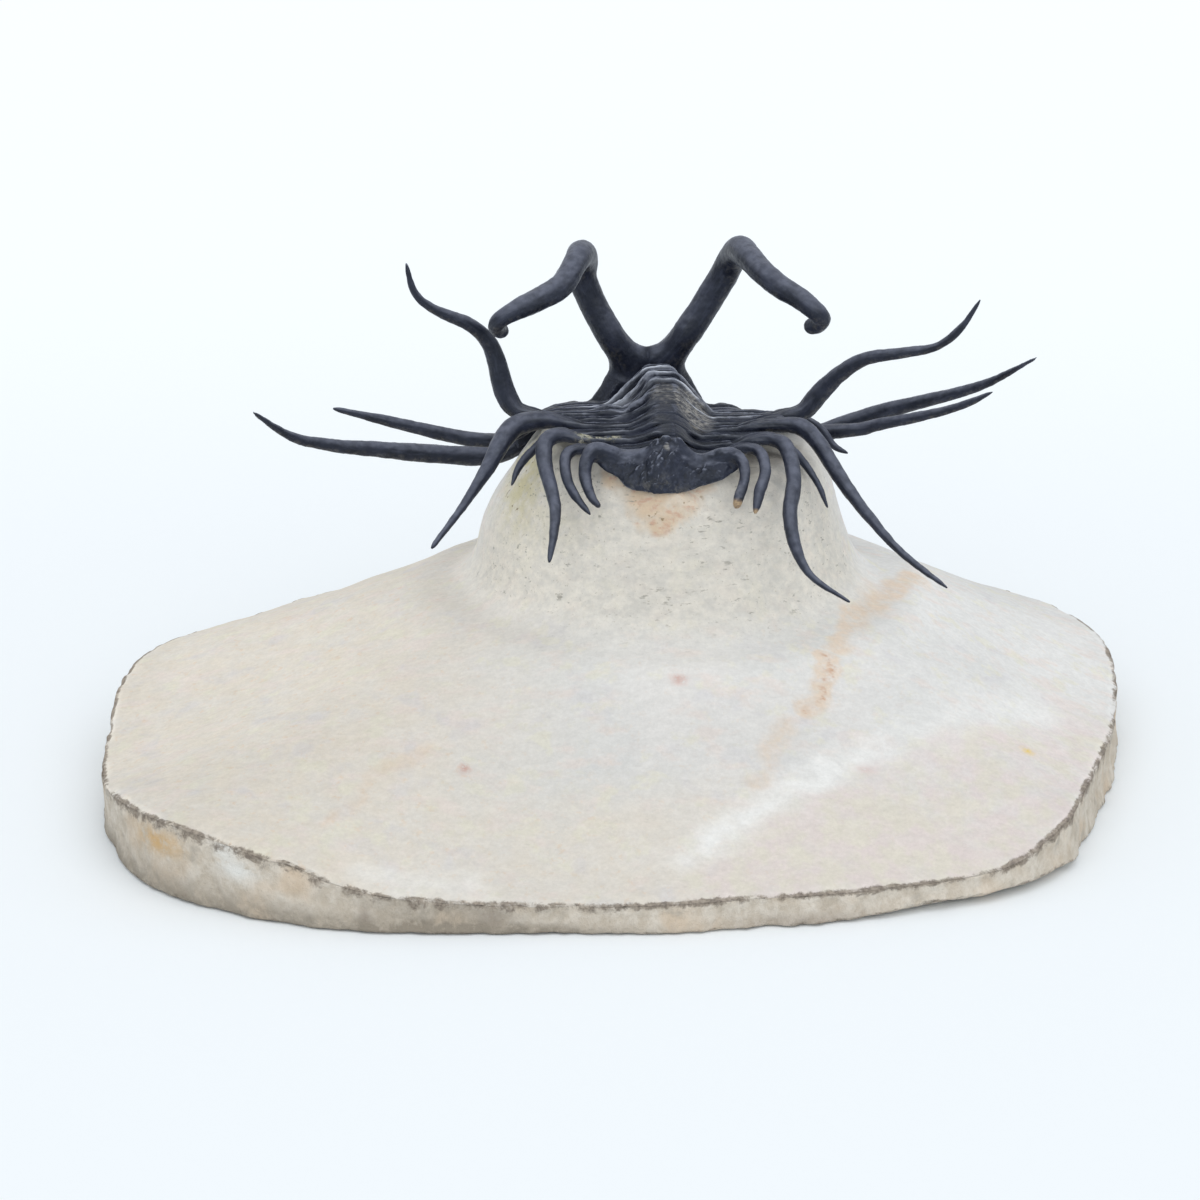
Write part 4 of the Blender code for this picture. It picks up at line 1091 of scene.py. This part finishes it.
def eye_mesh(side):
    """An eye on its short turret."""
    u, s = EYE_AT
    base = float(head_height(side * u, s)) - 0.6
    turns = 2.0 * np.pi * np.arange(EYE_SIDES) / EYE_SIDES
    rings = np.array([[(side * u + EYE_RADIUS * w * math.cos(a),
                        s + 1.15 * EYE_RADIUS * w * math.sin(a), base + h) for a in turns]
                      for w, h in EYE_PROFILE])
    return plain_mesh(f"eye_{side}", rings.reshape(-1, 3), tube_faces(len(EYE_PROFILE), EYE_SIDES))


def make_head(material):
    shield = shield_mesh("shield", HEAD_PLAN, HEAD_THICK, head_height, head_relief, head_fill,
                         *HEAD_GRID)
    parts = [shield, round_tube("bridge", BRIDGE, *TUBE_GRID)[0]]
    tubes = []
    for pick, side in enumerate((-1, 1)):
        for points in (HORNS[pick], GENAL_SPINES[pick]):
            tube, curve = round_tube("tube", points, *TUBE_GRID)
            parts.append(tube)
            tubes.append(curve)
        parts.append(eye_mesh(side))
        for k in range(BORDER_SPINES):
            points = border_spine_points(side, k / (BORDER_SPINES - 1.0))
            parts.append(round_tube("border", points, *THIN_GRID)[0])
    mesh = voxel_union("head_shield", parts, SHELL_VOXEL)
    soften(mesh, 2)
    places, _ = read_mesh(mesh)
    root = np.linalg.norm((places - np.array(HORN_ROOT)) / np.array(HORN_ROOT_SIZE), axis=1)
    soften(mesh, 60, 0.9 * ramp(root, 1.0, 0.55)[:, None])
    grain, tube = tube_grain(read_mesh(mesh)[0], tubes)
    dress_shell(mesh, grain, tube, HEAD_SEED, HEAD_WEAR_AND_HIGHLIGHT)
    finish_piece("head_shield", mesh, "cephalon", material)


def make_tail(material):
    """The tail: a last band that runs out into a pair of spines, and the plate behind it."""
    left, right = TAIL_SPINES
    band = [(u, TAIL_BAND_S, float(back_height(u, TAIL_BAND_S)) + TAIL_BAND_RISE, TAIL_BAND_THICK)
            for u in np.arange(-5.0, 4.6, 0.8)]
    tube, curve = round_tube("tube", left[::-1] + tuple(band) + right, *TAIL_TUBE_GRID)
    plate = shield_mesh("tail", TAIL_PLAN, TAIL_THICK, back_height, plain, plain, *TAIL_GRID)
    mesh = voxel_union("tail_shield", [plate, tube], TAIL_VOXEL)
    soften(mesh, 2)
    u, s, _ = read_mesh(mesh)[0].T
    root = ramp(np.abs(u), 1.5, 3.0) * ramp(np.abs(u), 8.6, 7.4) * ramp(s, -13.2, -12.3)
    soften(mesh, 40, 0.8 * root[:, None])
    places, normals = read_mesh(mesh)
    u, s = places[:, 0], places[:, 1]
    above = ramp(normals[:, 2], 0.1, 0.5) * ramp(np.abs(u), 8.0, 6.8)
    lumps = 0.34 * field(places * np.array((1.0, 1.0, 0.5)), 1.1, 301, 5) * ramp(s, -11.2, -12.2)
    lumps += 0.12 * field(places, 0.45, 307, 2) * ramp(s, -11.0, -12.0)
    places[:, 2] += above * (tail_relief(u, s) + lumps)
    places[:, 0] -= 1.1 * ramp(s, -11.8, -13.8) * ramp(np.abs(u), 5.8, 3.5)
    move_points(mesh, places)
    grain, tube = tube_grain(read_mesh(mesh)[0], [curve])
    dress_shell(mesh, grain, tube, TAIL_SEED, TAIL_WEAR_AND_HIGHLIGHT)
    finish_piece("tail_shield", mesh, "pygidium", material)


# Stone

def by_direction(values, bearing):
    right, head, left, tail = values
    c, d = np.cos(bearing), np.sin(bearing)
    return np.where(c > 0, right, left) * c * c + np.where(d > 0, head, tail) * d * d


def oval_radius(values, bearing):
    right, head, left, tail = values
    c, d = np.cos(bearing), np.sin(bearing)
    power = np.where(d > 0, HEAD_END_POWER, 2.0)
    return ((np.abs(c) / np.where(c > 0, right, left)) ** power
            + (np.abs(d) / np.where(d > 0, head, tail)) ** power) ** (-1.0 / power)


def ring_smooth(values, reach):
    """Running mean round a closed ring of values."""
    weights = np.exp(-0.5 * (np.arange(-3 * reach, 3 * reach + 1) / reach) ** 2)
    weights /= weights.sum()
    return np.convolve(np.concatenate([values[-3 * reach:], values, values[:3 * reach]]), weights,
                       mode="valid")


def rim_curve(angles, centre):
    """Radius and height of the upper edge in each direction from the neck's centre."""
    rows = np.array(RIM)
    offset = rows[:, :2] - centre
    bearings = np.unwrap(np.arctan2(offset[:, 1], offset[:, 0]))
    radii = np.hypot(offset[:, 0], offset[:, 1])
    wrapped = bearings[0] + (angles - bearings[0]) % (2.0 * np.pi)
    bearings = np.append(bearings, bearings[0] + 2.0 * np.pi)
    radius = np.interp(wrapped, bearings, np.append(radii, radii[0]))
    height = np.interp(wrapped, bearings, np.append(rows[:, 2], rows[0, 2]))
    return ring_smooth(radius, 4), ring_smooth(height, 8)


def stone_top(u, s):
    """Height of the stone under the shell, which it holds up, and beside it."""
    inside = np.interp(s, *np.array(CROWN_PLAN).T, left=0.0, right=0.0) - np.abs(u)
    gap = SHOULDER_GAP - 1.55 * ramp(inside, 0.0, 1.8)
    back, head = back_height(u, s), head_height(u, s)
    low = np.minimum(back, head)
    shell = np.where(s > 12.0, low + (head - low) * ramp(s, 14.2, 16.2), back)
    return np.minimum(STONE_CROWN, shell - 0.5 * BAND_THICK - gap)


def through(control, counts):
    """Rows on smooth curves through control rows, with so many steps between each two."""
    rows = with_ends(control)
    out = [bend(rows[i:i + 4], t) for i, count in enumerate(counts)
           for t in np.arange(count) / count]
    return out + [rows[-2]]


def pair(radius, height):
    """A row of the stone: its radius and height in each direction."""
    return np.stack(np.broadcast_arrays(radius, height), axis=1)


def stone_rows(angles, circle, centre):
    """The stone's rows from its crown to its base, in four groups, and its edge's measures."""
    bearing = angles - BODY_TURN
    rim_radius, rim_height = rim_curve(angles, centre)
    top_radius = oval_radius(NECK_RINGS[0][1:], bearing)

    def on_top(share):
        radius = share * top_radius
        return pair(radius, stone_top(NECK_U + radius * np.cos(bearing),
                                      NECK_S + radius * np.sin(bearing)))

    shoulder = on_top(1.0)[:, 1] - SHOULDER_DROP
    foot_height = by_direction(FOOT_HEIGHT, bearing)
    foot_radius = oval_radius(FOOT, bearing)
    edge_radius = rim_radius - LEAN - EDGE_ROUND
    control = [on_top(TOP_SHARE)]
    for drop, *widths in NECK_RINGS:
        control.append(pair(oval_radius(widths, bearing),
                            shoulder + (foot_height - shoulder) * drop))
    for k in range(HILL_STEPS + 1):
        share = k / HILL_STEPS
        control.append(pair(foot_radius + (edge_radius - foot_radius) * share, rim_height
                            + (foot_height - rim_height) * (1.0 - share) ** HILL_POWER))
    slope = through(np.array(control), SLOPE_STEPS)
    split = sum(SLOPE_STEPS[:-1]) + 1
    crown = [on_top(share) for share in np.linspace(0.03, TOP_SHARE, CROWN_ROWS, endpoint=False)]

    outer = [pair(edge_radius + EDGE_ROUND * math.sin(turn),
                  rim_height - EDGE_ROUND * (1.0 - math.cos(turn)))
             for turn in 0.5 * np.pi * np.arange(1, ARC_ROWS + 1) / ARC_ROWS]
    x_out, y_out = (centre + circle * rim_radius[:, None]).T
    lift = RIGHT_LIFT * ramp(x_out, 20.0, 34.0) * ramp(y_out, -22.0, -31.0)
    tuck = LEFT_TUCK * ramp(x_out, -30.0, -46.0) * ramp(y_out, -8.0, -26.0)
    for k in range(1, SIDE_ROWS + 1):
        t = k / SIDE_ROWS
        inset = LEAN * (1.0 - t)
        outer.append(pair(rim_radius - inset - SIDE_HOLLOW * np.sin(np.pi * t) - tuck * t * t,
                          (rim_height - EDGE_ROUND) * (1.0 - t) + (BASE_LIFT + lift) * t))
    for inset, low in BASE_ROWS:
        outer.append(pair(rim_radius - tuck - inset * (1.0 + 2.4 * lift),
                          (BASE_LIFT + lift) * low))
    flat = [pair(share * outer[-1][:, 0], 0.0) for share in FLAT_SHARES]
    return (crown + slope[:split], slope[split:], outer, flat), rim_height, edge_radius


def stone_faces(inner, rim, bottom):
    """Faces between so many rings. The rim's rings have more columns than the others."""
    few, many = RIM_COLUMNS // INNER_EVERY, RIM_COLUMNS
    first_rim = 1 + inner * few
    first_bottom = first_rim + rim * many
    nadir = first_bottom + bottom * few
    faces = [(0, 1 + k, 1 + (k + 1) % few) for k in range(few)]
    faces += grid_faces(inner, few, 1) + grid_faces(rim, many, first_rim)
    faces += grid_faces(bottom, few, first_bottom)
    for k in range(few):
        nxt = (k + 1) % few
        for narrow, wide in ((first_rim - few, first_rim), (first_bottom, first_bottom - many)):
            a, b = narrow + k, narrow + nxt
            w = [wide + (INNER_EVERY * k + j) % many for j in range(INNER_EVERY + 1)]
            faces += [(a, w[0], w[1]), (a, w[1], w[2], b), (b, w[2], w[3])]
        faces.append((nadir - few + k, nadir - few + nxt, nadir))
    return faces, first_rim, first_bottom


def edge_zones(count, first, rows, hill_rows, angles, rim_height, edge_radius):
    """Which points lie on the side, in the crust along the upper edge or the painted shadow line
    along the side's foot, and low on the side, where painted shade darkens it.
    """
    flank, crust_and_foot_shadow, low_side_shade = np.zeros((3, count))
    turned = (angles + np.pi) % (2.0 * np.pi) - np.pi
    thick = 1.0
    for high, at, width in CRUST_THICK:
        away = (angles if at > 0.0 else turned) - at
        thick = thick + high * np.exp(-(away / width) ** 2)
    for i, (radius, height) in enumerate(row.T for row in rows):
        block = slice(first + i * RIM_COLUMNS, first + (i + 1) * RIM_COLUMNS)
        down = i - hill_rows
        below = np.clip(rim_height - 0.1 - height, 0.0, None)
        inside = np.clip(edge_radius + 0.15 - radius, 0.0, None) if down < 0 else 0.0
        # The second term is a painted shadow line along the side's foot
        crust_and_foot_shadow[block] = np.maximum(
            np.exp(-(below / (CRUST_DEPTH * thick)) ** 2 - (inside / CRUST_INSIDE) ** 2),
            0.55 * math.exp(-((down - FOOT_ROW) / 1.6) ** 2))
        flank[block] = ramp(down, 1.0, 5.0)
        low_side_shade[block] = ramp(down, 12.0, FOOT_ROW)
    return flank, crust_and_foot_shadow, low_side_shade


def break_rock(mesh, centre, flank, crust_and_foot_shadow, first_bottom):
    """Relief: the face is smooth from air abrasion, and the edge and side are broken rock."""
    places, normals = read_mesh(mesh)
    angle = np.arctan2(places[:, 1] - centre[1], places[:, 0] - centre[0])
    outward = np.stack([np.cos(angle), np.sin(angle), np.zeros(len(places))], axis=1)
    edge_points = outward * EDGE_CIRCLE
    jag = field(edge_points, 1.7, 12, 3)
    notch = ramp(field(edge_points, 3.6, 13, 2), 0.25, 0.75)
    crust_and_foot_shadow *= np.clip(0.85 + 0.55 * field(edge_points, 5.0, 14, 3), 0.3, 1.1)
    edge_zone = np.clip(crust_and_foot_shadow * 1.2, 0.0, 1.0)
    swell = 0.16 * field(places, 9.0, 3, 2) + 0.035 * field(places, 1.6, 5)
    broken = field(places * np.array((1.0, 1.0, 0.8)), 2.4, 8, 4)
    bite = flank * (0.10 + 0.40 * broken + 0.28 * field(places, 6.0, 9, 2))
    bite += edge_zone * (0.05 + 0.30 * jag + 0.60 * notch)
    bite = np.clip(bite, 0.0, DEEPEST_BITE)
    bite[first_bottom:] = 0.0
    bite = bite * (1.0 - 0.5 * ramp(np.abs(places[:, 0]), 52.5, 55.0))
    shift = normals * ((1.0 - flank) * swell * ramp(places[:, 2], 1.0, 4.0))[:, None]
    shift = shift - outward * bite[:, None]
    shift[:, 2] -= edge_zone * ramp(flank, 0.9, 0.1) * np.clip(0.10 + 0.25 * jag, 0.0, 0.5)
    places = places + shift
    places[:, 2] = np.maximum(places[:, 2], 0.0)
    low, high = [np.array(c) / MM for c in cad_box]
    places[:, :2] = np.clip(places[:, :2], low[:2] + 0.01, high[:2] - 0.01)
    places[first_bottom:, 2] = 0.0
    move_points(mesh, places)
    return places


def line_mask(places, points, width):
    """1 on a line through points on the ground plan, fading over its width."""
    value = np.zeros(len(places))
    xy = places[:, :2]
    for a, b in zip(np.array(points), np.array(points[1:])):
        t = np.clip(((xy - a) @ (b - a)) / ((b - a) @ (b - a)), 0.0, 1.0)
        away = np.linalg.norm(xy - (a + t[:, None] * (b - a)), axis=1)
        value = np.maximum(value, np.exp(-(away / width) ** 2))
    return value


def spot_mask(places, at, size):
    away = np.linalg.norm((places - np.array(at)) / np.array(size), axis=1)
    return np.exp(-away ** 2)


def painted_stone_light(places, facing):
    """Painted light and shade: how much lighter the stone is than its own colour on slopes that
    face sideways or away and at the neck's foot, and how much darker at the front, to match the
    light that falls on it.
    """
    x, y, z = places.T
    tone = (0.25 - 0.09 * ramp(z, 15.0, 20.0)) * ramp(facing[:, 0], -0.08, -0.65)
    tone += 0.12 * ramp(facing[:, 0], 0.15, 0.7)
    tone += 0.05 * ramp(y, -6.0, 18.0) * ramp(z, 24.0, 18.0)
    tone -= 0.035 * ramp(y, -12.0, -26.0)
    return tone + 0.05 * np.exp(-((z - 18.5) / 2.2) ** 2) * ramp(x, -8.0, 0.0)


def colour_stone(mesh, places, flank, crust_and_foot_shadow, low_side_shade):
    """Store where each of the stone's colours lies."""
    x, y, z = places.T
    still = np.zeros(len(places))
    bent = places + 1.3 * np.stack([field(places, 3.4, 31, 3), field(places, 3.4, 32, 3), still],
                                   axis=1)
    give(mesh, "flank", flank)
    give(mesh, "crust_and_foot_shadow", crust_and_foot_shadow)
    front = np.exp(-((x + 18.0) / 9.0) ** 2) * ramp(y, 0.0, -20.0)
    # low: painted shade low on the side and at its front left
    give(mesh, "low", low_side_shade * ramp(x, 12.0, -8.0) + 0.8 * ramp(flank, 0.5, 1.0) * front)
    # tone: painted light and shade on the face, none on the broken side
    give(mesh, "tone", 1.0 + painted_stone_light(places, read_mesh(mesh)[1]) * (1.0 - flank))
    warm = np.maximum(ramp(x, 5.0, -30.0), 0.8 * ramp(y, -26.0, -35.0))
    give(mesh, "warmth", warm * ramp(z, 30.0, 16.0))
    give(mesh, "clear", 0.8 * ramp(x, 16.0, 34.0) * ramp(z, 26.0, 18.0))
    give(mesh, "neck", ramp(z, 17.5, 22.5) * ramp(y, 12.0, 3.0))
    peach = ramp(bent[:, 0] * 0.62 - bent[:, 1] * 0.785, 34.2, 36.4) * ramp(x, 2.0, 14.0)
    right = 0.8 * ramp(x, 43.0, 49.0) * ramp(bent[:, 1], 2.0, -4.0)
    give(mesh, "peach", np.maximum(peach, right))
    half_width = 5.2 * (np.clip(z - 29.5, 0.0, 6.0) / 4.9) ** 0.75
    half_width = half_width + 1.2 * field(places, 2.2, 21, 3)
    give(mesh, "ochre", ramp(half_width - np.abs(x - 4.15), -0.9, 0.9) * ramp(y, 2.0, -1.0)
         * ramp(z, 36.5, 35.0) * ramp(z, 29.2, 30.2))
    for name, lines in LINES.items():
        masks = [share * line_mask(bent, points, width) for share, width, points in lines]
        give(mesh, name, np.max(masks, axis=0))
    for name, spots in SPOTS.items():
        give(mesh, name, sum(share * spot_mask(places, at, size) for share, at, size in spots))


def make_stone(material):
    centre = to_world((NECK_U, NECK_S, 0.0))[:2]
    angles = 2.0 * np.pi * np.arange(RIM_COLUMNS) / RIM_COLUMNS
    circle = np.stack([np.cos(angles), np.sin(angles)], axis=1)
    (inner, hill, outer, flat), rim_height, edge_radius = stone_rows(angles, circle, centre)

    def lay(rows, every):
        return [np.column_stack([centre + circle[::every] * row[::every, :1], row[::every, 1]])
                for row in rows]

    crown = np.array([[*centre, float(stone_top(NECK_U, NECK_S))]])
    nadir = np.array([[*centre, 0.0]])
    verts = np.concatenate([crown, *lay(inner, INNER_EVERY), *lay(hill + outer, 1),
                            *lay(flat, INNER_EVERY), nadir])
    faces, first_rim, first_bottom = stone_faces(len(inner), len(hill + outer), len(flat))
    mesh = plain_mesh("limestone", verts, faces)
    flank, crust_and_foot_shadow, low_side_shade = edge_zones(len(verts), first_rim, hill + outer, len(hill), angles,
                                        rim_height, edge_radius)
    flank[first_bottom:] = 1.0
    places = break_rock(mesh, centre, flank, crust_and_foot_shadow, first_bottom)
    colour_stone(mesh, places, flank, crust_and_foot_shadow, low_side_shade)
    finish_piece("limestone", mesh, "matrix", material)


# Set, light and camera

FLOOR_SIZE = 3.0
# Where the floor grows paler, and where it starts to glow, in depth behind the stone's middle:
# painted light that brightens the far floor
PALER = (100.0, 700.0)
GLOW = (40.0, 220.0, 0.0, 0.058)
GLOW_COLOUR = (0.95, 0.98, 1.0)
WORLD_COLOUR = (0.96, 0.985, 1.0, 1.0)
WORLD_STRENGTH = 0.71
SUN_STRENGTH = 1.15
SUN_WIDTH = math.radians(80.0)
SUN_DIRECTION = (-0.08, 0.75, -1.0)


def make_floor():
    bm = bmesh.new()
    bmesh.ops.create_grid(bm, x_segments=8, y_segments=8, size=FLOOR_SIZE)
    mesh = bpy.data.meshes.new("floor")
    bm.to_mesh(mesh)
    bm.free()
    floor = bpy.data.objects.new("floor", mesh)
    bpy.context.scene.collection.objects.link(floor)
    r = Recipe("floor")
    depth = r.add("ShaderNodeSeparateXYZ", "Y", Vector=r.place)
    colour = r.tones(depth, *PALER, srgb(246, 251, 255), srgb(251, 254, 255))
    mesh.materials.append(r.done(Base_Color=colour, Roughness=0.8, Specular_IOR_Level=0.0,
                                 Emission_Color=GLOW_COLOUR,
                                 Emission_Strength=r.span(depth, *GLOW)))


def light_scene():
    world = bpy.data.worlds.new("studio")
    world.use_nodes = True
    background = world.node_tree.nodes["Background"]
    background.inputs["Color"].default_value = WORLD_COLOUR
    background.inputs["Strength"].default_value = WORLD_STRENGTH
    bpy.context.scene.world = world
    data = bpy.data.lights.new("softbox", "SUN")
    data.energy = SUN_STRENGTH
    data.angle = SUN_WIDTH
    lamp = bpy.data.objects.new("softbox", data)
    lamp.rotation_euler = Vector(SUN_DIRECTION).to_track_quat("-Z", "Y").to_euler()
    bpy.context.scene.collection.objects.link(lamp)
    bpy.context.scene.view_settings.view_transform = "Standard"


CAMERA_TARGET = (-2.25, 0.0, 19.8)
CAMERA_RISE = math.radians(20.0)
CAMERA_DISTANCE = 500.0
CAMERA_LENS = 138.9
SENSOR_WIDTH = 36.0


def make_camera():
    data = bpy.data.cameras.new("camera")
    data.lens = CAMERA_LENS
    data.sensor_width = SENSOR_WIDTH
    data.clip_start = 0.01
    data.clip_end = 20.0
    camera = bpy.data.objects.new("camera", data)
    x, y, z = CAMERA_TARGET
    camera.location = (x * MM, (y - CAMERA_DISTANCE * math.cos(CAMERA_RISE)) * MM,
                       (z + CAMERA_DISTANCE * math.sin(CAMERA_RISE)) * MM)
    camera.rotation_euler = (0.5 * math.pi - CAMERA_RISE, 0.0, 0.0)
    bpy.context.scene.collection.objects.link(camera)
    bpy.context.scene.camera = camera


make_camera()
make_stone(stone_material())
shell = shell_material()
make_head(shell)
make_segments(shell)
make_tail(shell)
make_floor()
light_scene()
